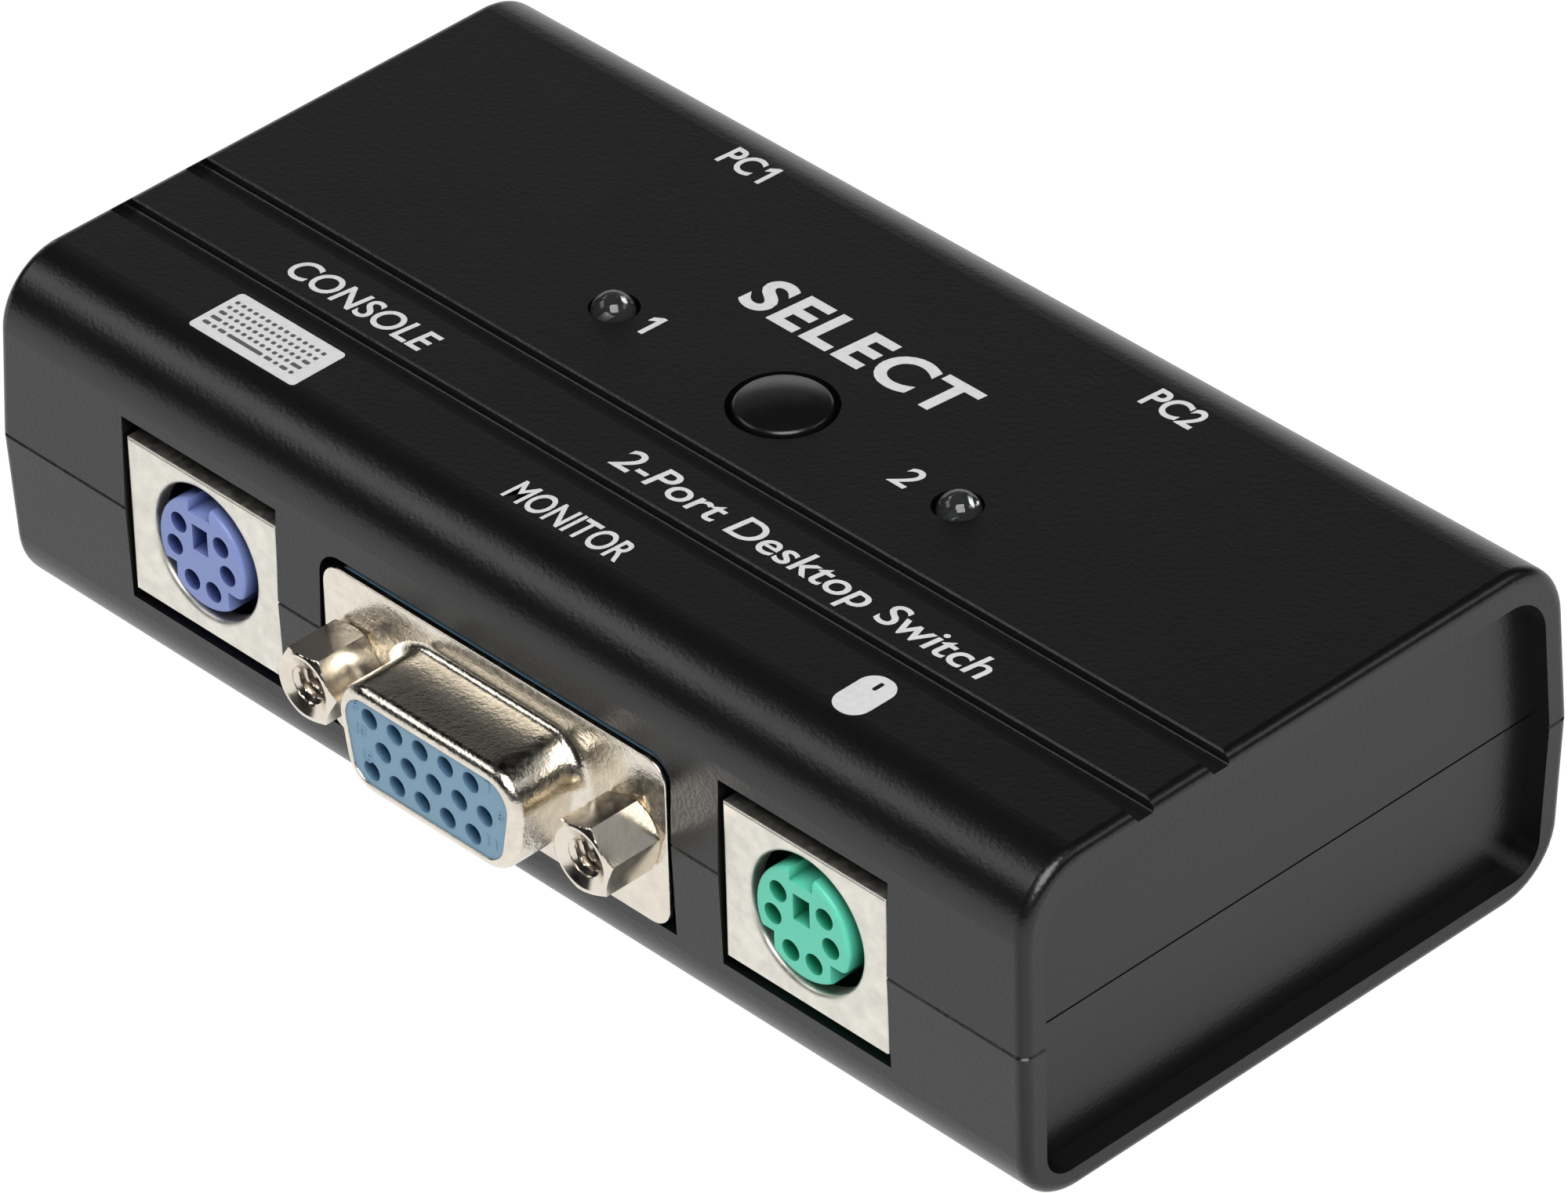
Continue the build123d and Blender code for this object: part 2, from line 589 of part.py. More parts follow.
def port_insulator(outline, plug):
    """The rear moulding of a port: a plate behind the flange and a body on the board."""
    plate_front = -FLANGE_T - GAP
    plate_back = plate_front - INSULATOR_PLATE
    plate = Pos(0, -FLANGE_DROP) * RectangleRounded(FLANGE_W - 2 * INSULATOR_MARGIN, FLANGE_H - 0.1,
                                                    FLANGE_R)
    low = BOARD_TOP + GAP - PORT_Z
    half = PORT_BODY_W / 2
    body = slab(plate, plate_back, plate_front)
    body += block(-half, half, -plate_back - 0.5, PORT_BODY_BACK, low,
                  FLANGE_H / 2 - FLANGE_DROP - 0.3)
    if plug:
        body += slab(d_profile(*outline, inset=SHELL_T + GAP), plate_front - 0.5, 0.4)
    for hole in pin_holes(PLUG_PIN_R + 0.03 if plug else SOCKET_HOLE_R):
        body -= hole
    for side in SIDES:
        body -= rod(side * SCREWLOCK_SPACING / 2, 0, STUD_R + 0.2, plate_back - 0.1, 0)
    return body


def port_core(outline):
    """The front moulding of a socket: a D core held by the collar's nose."""
    core = slab(d_profile(*outline, inset=SHELL_T + GAP), -FLANGE_T, SHELL_REACH - SHELL_T - GAP)
    core += slab(d_profile(*outline, inset=NOSE_LIP + GAP), 0, SHELL_REACH - CORE_RECESS)
    for hole in pin_holes(SOCKET_HOLE_R):
        core -= hole
    mouth_r, depth, taper = FUNNEL
    for x, z, _ in port_pins():
        mouth = Plane.XZ.offset(SHELL_REACH - CORE_RECESS) * Pos(x, z) * Circle(mouth_r)
        core -= extrude(mouth, -depth, taper=taper)
    return core


def tail(x, z, start, back, foot):
    """A square wire from behind a pin, back and then down through the board."""
    half = TAIL / 2
    along = block(x - half, x + half, start, back + half, z - half, z + half)
    return along + block(x - half, x + half, back - half, back + half, foot, z + half)


def port_contacts(plug):
    """Fifteen contacts: round pins for a plug, split sleeves for a socket."""
    contacts = []
    foot = LEG_TIP - PORT_Z
    for x, z, back in port_pins():
        if plug:
            pin = rod(x, z, PLUG_PIN_R, -PORT_BODY_BACK, SHELL_REACH - 0.6)
            pin = fillet(pin.edges().sort_by(Axis.Y)[0], 0.25)
        else:
            pin = rod(x, z, SLEEVE_R, -PORT_BODY_BACK, SHELL_REACH - 1.6)
            pin -= rod(x, z, SLEEVE_BORE_R, -2.0, SHELL_REACH)
        contacts.append(pin + tail(x, z, PORT_BODY_BACK - 0.2, back, foot))
    return contacts


def screwlock(turn):
    """One hexagonal screwlock: threaded bore in front, threaded stud behind."""
    across_corners = SCREWLOCK_FLATS / math.cos(math.radians(30))
    hexagon = Rot(0, 0, turn) * RegularPolygon(across_corners / 2, 6)
    body = slab(hexagon, GAP, SCREWLOCK_LENGTH)
    barrel = slab(Circle(across_corners / 2), GAP, SCREWLOCK_LENGTH)
    body &= chamfer(barrel.edges().filter_by(GeomType.CIRCLE), SCREWLOCK_BEVEL)
    body += slab(Circle(STUD_R), -STUD_LENGTH, GAP + 0.5)
    body -= slab(Circle(SCREWLOCK_BORE_R), SCREWLOCK_LENGTH - SCREWLOCK_DEPTH,
                 SCREWLOCK_LENGTH + 1.0)
    mouth = body.faces().sort_by(Axis.Y)[0].inner_wires()[0].edges()
    return chamfer(mouth, SCREWLOCK_MOUTH)


def screwlocks(turns):
    """The pair of screwlocks on either side of a port."""
    return [Pos(side * SCREWLOCK_SPACING / 2, 0, 0) * screwlock(turn)
            for side, turn in zip(SIDES, turns)]


def board_locks():
    """Two L-shaped brackets: each is the screwlock's nut and has a leg into the board."""
    front = FLANGE_T + 2 * GAP + INSULATOR_PLATE
    low = BOARD_TOP + GAP - PORT_Z
    locks = []
    for side in SIDES:
        x = side * SCREWLOCK_SPACING / 2
        lock = block(x - 2.5, x + 2.5, front, front + LOCK_PLATE_T, low, 3.0)
        lock += block(x - 2.5, x + 2.5, front, front + 5.0, low, low + LOCK_PLATE_T)
        lock += block(x - 0.7, x + 0.7, front + 2.6, front + 3.6, LEG_TIP - PORT_Z, low + 0.4)
        lock -= rod(x, 0, STUD_R + 0.03, -front - 2.0, -front + 1.0)
        locks.append(lock)
    return locks


def lock_legs():
    """X and depth of the board-lock legs behind a port's face."""
    depth = FLANGE_T + 2 * GAP + INSULATOR_PLATE + 3.1
    return [(side * SCREWLOCK_SPACING / 2, depth) for side in SIDES]


# Round sockets ---------------------------------------------------------------------------------

def din_pins():
    """X, height and tail depth of each of the six pins."""
    return [(side * x, z, back) for x, z, back in DIN_PINS for side in SIDES]


def din_shield():
    """The folded tin-plated sheet: a front plate, a top and two sides with legs."""
    half = DIN_PLATE_W / 2
    high = DIN_PLATE_HIGH - DIN_Z
    low = DIN_PLATE_LOW - DIN_Z
    back = DIN_DEPTH - 3.0
    shield = block(-half, half, 0, back, low, high)
    edges = shield.edges().filter_by(lambda e: abs(e.center().Y) < 0.001 and e.center().Z > low + 0.1)
    shield = fillet(edges, DIN_BEND_R)
    shield -= block(-half + DIN_SHEET, half - DIN_SHEET, DIN_SHEET, back + 1.0, low - 1.0,
                    high - DIN_SHEET)
    for side in SIDES:
        inner = side * (half - DIN_SHEET)
        shield += block(inner, side * half, back - 2.4, back - 1.0, LEG_TIP - DIN_Z, low + 0.5)
    shield += rod(0, 0, DIN_RING_OUT_R, -DIN_COLLAR, -DIN_SHEET / 2)
    shield -= rod(0, 0, DIN_OPENING_R, -DIN_COLLAR - 1.0, 1.0)
    mouth = shield.edges().filter_by(GeomType.CIRCLE).filter_by(lambda e: abs(e.center().Y) < 0.001)
    return fillet(mouth, DIN_LIP_R)


def din_core():
    """The round keyed core that the plug's pins go into."""
    core = rod(0, 0, DIN_CORE_R, -DIN_CAVITY - 0.5, DIN_CORE_PROUD)
    core = fillet(core.edges().filter_by(GeomType.CIRCLE).sort_by(Axis.Y)[0], DIN_CORE_EDGE_R)
    reach = DIN_CORE_PROUD + 1.0
    width, floor = DIN_GROOVE
    core -= block(-width / 2, width / 2, -reach, DIN_CAVITY, floor, floor + 5.0)
    inner, top = DIN_NOTCH
    for side in SIDES:
        core -= block(side * inner, side * (inner + 5.0), -reach, DIN_CAVITY, top - 5.0, top)
    width, height, middle = DIN_KEY
    core -= block(-width / 2, width / 2, -reach, DIN_CAVITY - 2.0, middle - height / 2,
                  middle + height / 2)
    return core


def din_moulding():
    """The coloured housing of a round socket, with its core."""
    half = DIN_PLATE_W / 2 - DIN_SHEET - GAP
    low = BOARD_TOP + GAP - DIN_Z
    high = DIN_PLATE_HIGH - DIN_Z - DIN_SHEET - GAP
    body = block(-half, half, DIN_SHEET + GAP, DIN_DEPTH, low, high)
    body -= block(-half, half, 0, WALL + 0.5, low - 1.0, DIN_PLATE_LOW + 0.7 - DIN_Z)
    body -= rod(0, 0, DIN_RING_OUT_R + GAP, -DIN_CAVITY, 0)
    body += din_core()
    for x, z, _ in din_pins():
        body -= rod(x, z, DIN_HOLE_R, -DIN_DEPTH - 1.0, 2.0)
    return body


def din_ring():
    """The plated ring that lines the round socket."""
    ring = rod(0, 0, DIN_RING_OUT_R, -DIN_CAVITY + GAP, -DIN_COLLAR - GAP)
    return ring - rod(0, 0, DIN_RING_IN_R, -DIN_CAVITY - 1.0, 1.0)


def din_contacts():
    """Six sleeves with tails down through the board."""
    contacts = []
    foot = LEG_TIP - DIN_Z
    for x, z, back in din_pins():
        sleeve = rod(x, z, SLEEVE_R, -DIN_DEPTH, -1.2) - rod(x, z, SLEEVE_BORE_R, -6.0, 0)
        contacts.append(sleeve + tail(x, z, DIN_DEPTH - 0.2, back, foot))
    return contacts


def shield_legs():
    """X and depth of the shield's legs behind the socket's face."""
    x = (DIN_PLATE_W - DIN_SHEET) / 2
    return [(side * x, DIN_DEPTH - 4.7) for side in SIDES]


# Board and small parts -------------------------------------------------------------------------

def leg_holes():
    """X and Y of every wire's hole through the board, and of every bracket's wider hole."""
    wires = switch_legs()
    brackets = []
    for x, y in CAN_PLACES:
        wires += [(x + side * CAN_PITCH / 2, y) for side in SIDES]
    wires += [(CRYSTAL_PLACE[0] + side * CRYSTAL_PITCH / 2, CRYSTAL_PLACE[1]) for side in SIDES]
    for index in range(len(LAMP_X)):
        wires += [(lamp_x(index) + side * LAMP_PITCH / 2, LAMP_Y) for side in SIDES]
    for x in DIN_X:
        wires += [(x + px, back - DIN_FACE_Y) for px, _, back in din_pins()]
        brackets += [(x + px, depth - DIN_FACE_Y) for px, depth in shield_legs()]
    for x, out in ((FRONT_PORT_X, -1), (-REAR_PORT_X, 1), (REAR_PORT_X, 1)):
        wires += [(x - out * px, out * (PORT_FACE_Y - back)) for px, _, back in port_pins()]
        brackets += [(x + px, out * (PORT_FACE_Y - depth)) for px, depth in lock_legs()]
    return wires, brackets


def main_board():
    """The circuit board, with a hole for every leg and one for each case screw."""
    board = block(-BOARD_LENGTH / 2, BOARD_LENGTH / 2, -BOARD_DEPTH / 2, BOARD_DEPTH / 2,
                  BOARD_BOTTOM, BOARD_TOP)
    board = fillet(board.edges().filter_by(Axis.Z), 1.0)
    wires, brackets = leg_holes()
    low, high = BOARD_BOTTOM - 1.0, BOARD_TOP + 1.0
    cuts = [post(x, y, LEG_HOLE_R, low, high) for x, y in wires]
    cuts += [post(x, y, LOCK_HOLE_R, low, high) for x, y in brackets]
    cuts += [post(x, y, SCREW_R + 0.25, low, high) for x, y in corner_places(SCREW_X, SCREW_Y)]
    return board - cuts


def at_place(piece, place):
    """Sets a piece built about the origin on the board, turned if its place says so."""
    x, y, turned = place
    return Pos(x, y, BOARD_TOP) * Rot(0, 0, 90 if turned else 0) * piece


def chip_body(size):
    """The moulded body of a chip, its edges bevelled, with its first-pin dimple."""
    length, width, height, _ = size
    body = block(-length / 2, length / 2, -width / 2, width / 2, CHIP_STAND, height)
    body = chamfer(body.edges().group_by(Axis.Z)[-1], 0.25)
    return body - post(-length / 2 + 1.2, -width / 2 + 1.1, 0.4, height - 0.15, height + 1.0)


def chip_leads(size):
    """Gull-wing leads along both sides of a chip, each a separate piece."""
    _, width, height, count = size
    shoulder = height / 2
    edge = width / 2 + 0.01
    leads = []
    for index in range(count):
        x = (index - (count - 1) / 2) * LEAD_PITCH
        x0, x1 = x - LEAD_WIDTH / 2, x + LEAD_WIDTH / 2
        for side in SIDES:
            knee = side * (edge + 0.35)
            lead = block(x0, x1, side * edge, knee + side * LEAD_THICK, shoulder,
                         shoulder + LEAD_THICK)
            lead += block(x0, x1, knee, knee + side * LEAD_THICK, 0.01, shoulder + LEAD_THICK)
            lead += block(x0, x1, knee, side * (edge + LEAD_REACH), 0.01, 0.01 + LEAD_THICK)
            leads.append(lead)
    return leads


def video_leads():
    """The leads of every video switch chip."""
    return [at_place(lead, place) for place in VIDEO_CHIP_PLACES for lead in chip_leads(VIDEO_CHIP)]


def crystal():
    """A low oval crystal can on its base."""
    length, width, height = CRYSTAL_SIZE
    can = extrude(SlotOverall(length, width), height)
    can = fillet(can.edges().group_by(Axis.Z)[-1], 0.5)
    base = extrude(SlotOverall(length + 0.9, width + 0.9), 0.4)
    return Pos(*CRYSTAL_PLACE, BOARD_TOP + 0.3) * (can + base)


def leg_pair(place, pitch, top):
    """Two round wire legs from the underside of a part down through the board."""
    x, y = place
    return [post(x + side * pitch / 2, y, 0.22, LEG_TIP, top) for side in SIDES]


def capacitor_cans():
    """Two upright electrolytic capacitors, each with a rolled groove above its base."""
    cans = []
    low = BOARD_TOP + 0.3
    for x, y in CAN_PLACES:
        can = post(x, y, CAN_R, low, low + CAN_HEIGHT)
        can = fillet(can.edges().filter_by(GeomType.CIRCLE), 0.3)
        waist = Pos(x, y, low + 1.3) * Torus(CAN_R + 0.15, 0.4)
        cans.append(can - waist)
    return cans


def capacitor_leads():
    """The legs of both electrolytic capacitors."""
    legs = []
    for place in CAN_PLACES:
        legs += leg_pair(place, CAN_PITCH, BOARD_TOP + 0.29)
    return legs


def small_blocks(size, places):
    """Small surface-mounted parts of one size, a separate solid at each place."""
    length, width, height = size
    return [block(x - length / 2, x + length / 2, y - width / 2, y + width / 2,
                  BOARD_TOP + 0.01, BOARD_TOP + height) for x, y in places]


def resistor_places():
    """Rows of four resistors, standing side by side."""
    return [(x + step * RESISTOR_PITCH, y) for x, y in RESISTOR_ROWS for step in range(4)]


# Assembly --------------------------------------------------------------------------------------

def group(pieces):
    """One node that holds several separate solids."""
    return Compound([solid for piece in pieces for solid in piece.solids()])


def port_nodes(name, x, rear, outline, turns):
    """The five nodes of one D-shaped port, and a sixth for the core of a socket."""
    nodes = {
        "front_shell": [port_front_shell(outline, rear)],
        "insulator": [port_insulator(outline, rear)],
        "pins" if rear else "contacts": port_contacts(rear),
        "screwlocks": screwlocks(turns),
        "board_locks": board_locks(),
    }
    if not rear:
        nodes["core"] = [port_core(outline)]
    return {f"{name}_{key}": group(at_port(piece, x, PORT_FACE_Y, PORT_Z, rear) for piece in pieces)
            for key, pieces in nodes.items()}


def din_nodes(name, x):
    """The four nodes of one round socket."""
    nodes = {
        "shield": [din_shield()],
        "moulding": [din_moulding()],
        "ring": [din_ring()],
        "contacts": din_contacts(),
    }
    return {f"{name}_{key}": group(at_port(piece, x, DIN_FACE_Y, DIN_Z, False) for piece in pieces)
            for key, pieces in nodes.items()}


def all_nodes():
    """Every node of the switch, by name."""
    nodes = {
        "top_shell": top_shell(),
        "bottom_shell": bottom_shell(),
        "case_screws": group(case_screws()),
        "rubber_feet": group(rubber_feet()),
        "select_button": select_button(),
        "switch_base": switch_base(),
        "switch_cover": switch_cover(),
        "switch_plunger": switch_plunger(),
        "switch_dome": switch_dome(),
        "switch_terminals": group(switch_terminals()),
        "main_board": main_board(),
        "controller_chip": at_place(chip_body(CONTROLLER), CONTROLLER_PLACE),
        "controller_leads": group(at_place(lead, CONTROLLER_PLACE)
                                  for lead in chip_leads(CONTROLLER)),
        "video_chips": group(at_place(chip_body(VIDEO_CHIP), place)
                             for place in VIDEO_CHIP_PLACES),
        "video_chip_leads": group(video_leads()),
        "crystal_can": crystal(),
        "crystal_leads": group(leg_pair(CRYSTAL_PLACE, CRYSTAL_PITCH, BOARD_TOP + 0.29)),
        "capacitor_cans": group(capacitor_cans()),
        "capacitor_leads": group(capacitor_leads()),
        "ceramic_capacitors": group(small_blocks(CERAMIC_SIZE, CERAMIC_PLACES)),
        "resistors": group(small_blocks(RESISTOR_SIZE, resistor_places())),
    }
    for index in range(len(LAMP_X)):
        name = f"lamp_{index + 1}"
        nodes[name + "_lens"] = lamp_lens(index)
        nodes[name + "_leads"] = group(lamp_lead_parts(index, 0))
        nodes[name + "_spacer"] = lamp_spacer(index)
    nodes.update(din_nodes("keyboard_socket", DIN_X[0]))
    nodes.update(din_nodes("mouse_socket", DIN_X[1]))
    nodes.update(port_nodes("monitor_port", FRONT_PORT_X, False, SOCKET_D,
                            MONITOR_LOCK_TURNS))
    nodes.update(port_nodes("computer_1_port", REAR_PORT_X * SIDES[0], True, PLUG_D, (0, 20)))
    nodes.update(port_nodes("computer_2_port", REAR_PORT_X * SIDES[1], True, PLUG_D, (10, 35)))
    return nodes


os.makedirs("parts", exist_ok=True)
for node, shape in all_nodes().items():
    export_step(shape, f"parts/{node}.step")
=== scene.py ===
"""Looks of a small desktop switch box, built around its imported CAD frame.

Lengths are millimetres in the named values and metres in Blender. The front of the box faces -Y, X runs
along it and Z is up. Every visible CAD node keeps its shape and gets a procedural material. The stamped
port shells, the threaded screwlocks and the switch's snap dome are rebuilt here as finer shapes, and the
prints are thin solids.
"""
import math

import bmesh
import bpy
from mathutils import Matrix, Vector

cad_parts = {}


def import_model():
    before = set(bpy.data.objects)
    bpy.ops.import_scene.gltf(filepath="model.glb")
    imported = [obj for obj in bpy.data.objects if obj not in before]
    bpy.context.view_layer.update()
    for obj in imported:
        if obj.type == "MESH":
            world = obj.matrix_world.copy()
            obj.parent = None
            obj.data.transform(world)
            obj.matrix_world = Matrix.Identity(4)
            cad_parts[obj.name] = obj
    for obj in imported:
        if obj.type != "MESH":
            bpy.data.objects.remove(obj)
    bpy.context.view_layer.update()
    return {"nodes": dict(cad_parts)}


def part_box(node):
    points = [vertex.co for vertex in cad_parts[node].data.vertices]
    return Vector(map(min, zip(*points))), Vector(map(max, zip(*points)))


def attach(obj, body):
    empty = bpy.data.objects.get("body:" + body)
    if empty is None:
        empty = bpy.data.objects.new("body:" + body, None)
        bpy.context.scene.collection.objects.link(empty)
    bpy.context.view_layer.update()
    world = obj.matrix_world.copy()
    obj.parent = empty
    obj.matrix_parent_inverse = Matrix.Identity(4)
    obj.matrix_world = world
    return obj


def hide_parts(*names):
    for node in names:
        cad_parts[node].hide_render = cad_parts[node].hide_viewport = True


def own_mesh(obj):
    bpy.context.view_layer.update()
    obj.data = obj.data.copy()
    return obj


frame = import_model()
MM = 0.001

# Camera: where it looks, from where, and its lens
AIM = (0.0, 0.0, 13.6)
AZIMUTH = 46.81
ELEVATION = 36.17
ROLL = -1.60
DISTANCE = 666.7
LENS = 244.04
SHIFT = (0.01016, -0.02033)

# Ports: outer sizes of the D collars are width, height and corner radius
PORTS = {
    "monitor_port": {"out": -1, "collar": (16.33, 7.90, 2.6), "socket": True, "turns": (4, 14)},
    "computer_1_port": {"out": 1, "collar": (17.7, 9.1, 3.0), "socket": False, "turns": (0, 20)},
    "computer_2_port": {"out": 1, "collar": (17.7, 9.1, 3.0), "socket": False, "turns": (10, 35)},
}
D_ANGLE = 10.0                   # how far the short sides of a D lean in, in degrees
SHEET = 0.5
COLLAR_SHEET = 0.4
FLANGE_R = 1.6
FLANGE_DROP = 0.25               # middle of the flange, below the middle of the D
FLANGE_EDGE = 0.08               # rounding of the flange's rim
FACE_RECESS = 0.12               # the socket's face, behind the collar's nose
NOSE_R = 0.8
NOSE_LIP = 0.75                  # how far the socket collar's nose turns in over its face
ROOT_R = (0.55, 1.25)            # concave root of the collar: along its long sides and at its ends
ROOT_SWELL = 0.16                # how far the flange rises towards the collar's ends
SWELL_RUN = 2.2
# Section of the lip round each hole: radius, and height above the face
HOLE_LIP = ((0.725, -0.10), (0.725, 0.01), (0.74, 0.03), (0.79, 0.03), (0.82, 0.0), (0.82, -0.10))
PIN_PITCH = 2.29
ROW_PITCH = 1.98
ROW_OFFSET = 0.57

# Screwlocks: 4-40 thread
LOCK_SPACING = 24.99
LOCK_FLATS = 4.76
LOCK_LENGTH = 4.5
LOCK_FACE_R = 2.28               # the round face left by the chamfer on the hexagon's ends
LOCK_CHAMFER = 0.62              # its fall for each millimetre of radius
LOCK_MOUTH_R = 2.08
LOCK_MOUTH_SLOPE = 1.7           # narrowing of the bore's mouth for each millimetre of depth
THREAD_MAJOR_R = 1.52
THREAD_MINOR_R = 1.16
THREAD_PITCH = 0.635
THREAD_DEPTH = 3.9
THREAD_FADE = 0.5                # length over which the thread runs out at the mouth
THREAD_FLANK = 2.2               # steepness of its flanks, in depths of thread for each pitch
STUD_R = 1.38
STUD_BEVEL = 0.2
LOCK_SIDES = 96
LOCK_GAP = 0.04                  # between a hexagon and the flange behind it
CENTRE_R = 0.02                  # the small ring that closes an end

# Snap dome of the switch
DOME_SHEET = 0.1

# Prints: height above the top, and depth into it
INK_THICK = 0.016
INK_SINK = 0.02
KEY_PROUD = 0.006                # dark ink over white ink

# Stage
FLOOR_GLOW = 0.92
SHADE_SPAN = (0.047, 0.064)      # painted shadow: reflections see the floor dimmer beside the right end, between these X in metres
SHADE_EDGE = 0.002               # the painted shadow fades in over this length before them
# glow of the floor inside the painted shadow
SHADE_GLOW = 0.62
STUDIO_LEVELS = (0.05, 0.01)     # brightness of the studio low down and overhead


# Colour and material helpers -------------------------------------------------------------------

def shade(code):
    """A linear colour from a six-digit sRGB code."""
    parts = [int(code[i:i + 2], 16) / 255 for i in (0, 2, 4)]
    return tuple(p / 12.92 if p <= 0.04045 else ((p + 0.055) / 1.055) ** 2.4 for p in parts)


def map_range(tree, value, spans):
    """A value moved from one range to another and held inside it; spans gives both ranges' ends."""
    node = tree.nodes.new("ShaderNodeMapRange")
    for socket, number in zip(("From Min", "From Max", "To Min", "To Max"), spans):
        node.inputs[socket].default_value = number
    tree.links.new(value, node.inputs["Value"])
    return node.outputs["Result"]


def white_to_camera(tree, level):
    """1 for what the camera sees directly, and a given level for every other ray."""
    node = tree.nodes.new("ShaderNodeMapRange")
    tree.links.new(tree.nodes.new("ShaderNodeLightPath").outputs["Is Camera Ray"], node.inputs["Value"])
    tree.links.new(level, node.inputs["To Min"])
    return node.outputs["Result"]


class Finish:
    """A material with one Principled shader, fed by procedural nodes in the object's own metres."""

    def __init__(self, name, colour, rough, metal=0.0, ior=1.5):
        self.material = bpy.data.materials.new(name)
        self.material.use_nodes = True
        self.tree = self.material.node_tree
        self.shader = self.tree.nodes["Principled BSDF"]
        self.place = self.tree.nodes.new("ShaderNodeTexCoord").outputs["Object"]
        self.colour = colour
        self.set("Base Color", (*colour, 1.0))
        self.set("Roughness", rough)
        self.set("Metallic", metal)
        self.set("IOR", ior)
        self.height = None

    def set(self, socket, value):
        """Gives a shader input a plain value or a node's output."""
        if isinstance(value, bpy.types.NodeSocket):
            self.tree.links.new(value, self.shader.inputs[socket])
        else:
            self.shader.inputs[socket].default_value = value

    def stretched(self, factors):
        """The object's coordinates, scaled on each axis."""
        mapping = self.tree.nodes.new("ShaderNodeMapping")
        mapping.inputs["Scale"].default_value = factors
        self.tree.links.new(self.place, mapping.inputs["Vector"])
        return mapping.outputs["Vector"]

    def noise(self, size, detail=2.0, vector=None):
        """Noise whose lumps are about this many millimetres across."""
        node = self.tree.nodes.new("ShaderNodeTexNoise")
        node.inputs["Scale"].default_value = 1 / (size * MM)
        node.inputs["Detail"].default_value = detail
        self.tree.links.new(vector or self.place, node.inputs["Vector"])
        return node.outputs["Fac"]

    def cells(self, size, feature="F1"):
        """Distance to the nearest of random points about this many millimetres apart."""
        node = self.tree.nodes.new("ShaderNodeTexVoronoi")
        node.feature = feature
        node.inputs["Scale"].default_value = 1 / (size * MM)
        self.tree.links.new(self.place, node.inputs["Vector"])
        return node.outputs["Distance"]

    def remap(self, value, low, high, to_low, to_high):
        """A value moved from one range to another and held inside it."""
        return map_range(self.tree, value, (low, high, to_low, to_high))

    def blend(self, factor, first, second):
        """A colour between two colours."""
        node = self.tree.nodes.new("ShaderNodeMix")
        node.data_type = "RGBA"
        self.tree.links.new(factor, node.inputs["Factor"])
        for socket, colour in (("A", first), ("B", second)):
            sockets = [s for s in node.inputs if s.name == socket and s.type == "RGBA"]
            sockets[0].default_value = (*colour, 1.0)
        return [s for s in node.outputs if s.type == "RGBA"][0]

    def bump(self, value, height):
        """Adds relief of this many millimetres, on top of any relief that is there."""
        node = self.tree.nodes.new("ShaderNodeBump")
        node.inputs["Distance"].default_value = height * MM
        node.inputs["Strength"].default_value = 1.0
        self.tree.links.new(value, node.inputs["Height"])
        if self.height is not None:
            self.tree.links.new(self.height, node.inputs["Normal"])
        self.height = node.outputs["Normal"]
        self.set("Normal", self.height)
        return self

    def paint_hollow_shade(self, reach, depth):
        """Paints shade into the colour in hollows narrower than this many millimetres, in place of the
        darkening that repeated bounces give.
        """
        node = self.tree.nodes.new("ShaderNodeAmbientOcclusion")
        node.inputs["Distance"].default_value = reach * MM
        node.only_local = True
        # the painted shade's colour, deeper and more saturated than the surface's own
        dark = tuple(c ** 2 * depth for c in self.colour)
        openness = self.remap(node.outputs["AO"], 0.35, 0.80, 0, 1)
        self.set("Base Color", self.blend(openness, dark, self.colour))
        return self

    def mottle(self, size, amount, detail=3.0):
        """Varies the colour a little, in patches."""
        dark = tuple(c * (1 - amount) for c in self.colour)
        light = tuple(min(c * (1 + amount), 1.0) for c in self.colour)
        patches = self.remap(self.noise(size, detail), 0.3, 0.7, 0, 1)
        self.set("Base Color", self.blend(patches, dark, light))
        return self

    def uneven(self, size, low, high, detail=3.0):
        """Varies the roughness between two values, in patches."""
        self.set("Roughness", self.remap(self.noise(size, detail), 0.3, 0.7, low, high))
        return self


# Materials -------------------------------------------------------------------------------------

def case_plastic():
    """Black moulded plastic with a fine spark-eroded texture."""
    finish = Finish("case_black_plastic", (0.0038, 0.0038, 0.0039), 0.30)
    finish.uneven(6.0, 0.29, 0.315)
    finish.bump(finish.noise(0.32, 2.0), 0.018)
    return finish.bump(finish.cells(0.16), 0.002).material


def gloss_plastic():
    """Polished black plastic with a trace of orange peel."""
    finish = Finish("button_gloss_black", (0.005, 0.005, 0.0053), 0.27).uneven(1.6, 0.25, 0.29)
    return finish.bump(finish.noise(0.6, 2.0), 0.0015).material


def moulded(name, colour, rough=0.5, grain=0.35, relief=0.006):
    """Plain moulded plastic with a soft grain."""
    finish = Finish(name, colour, rough).mottle(2.2, 0.06).uneven(1.2, rough - 0.05, rough + 0.06)
    return finish.bump(finish.noise(grain, 3.0), relief).material


def plated(name, colour, low, high, grain=0.30, relief=0.006, mottle=0.05):
    """Plated metal: a bright base with fine grain and uneven polish."""
    finish = Finish(name, colour, low, metal=1.0).mottle(1.6, mottle).uneven(0.7, low, high, 4.0)
    return finish.bump(finish.noise(grain, 3.0), relief).material


def nickel():
    """Bright nickel on stamped steel: a drawn skin, tiny dents and warm tarnish."""
    finish = Finish("port_nickel_stamped", (0.76, 0.705, 0.61), 0.20, metal=1.0).mottle(0.9, 0.07, 5.0)
    finish.uneven(0.5, 0.15, 0.28, 4.0)
    finish.bump(finish.noise(1.6, 2.0), 0.003)
    finish.bump(finish.noise(0.20, 3.0), 0.022)
    return finish.bump(finish.cells(0.45), 0.010).material


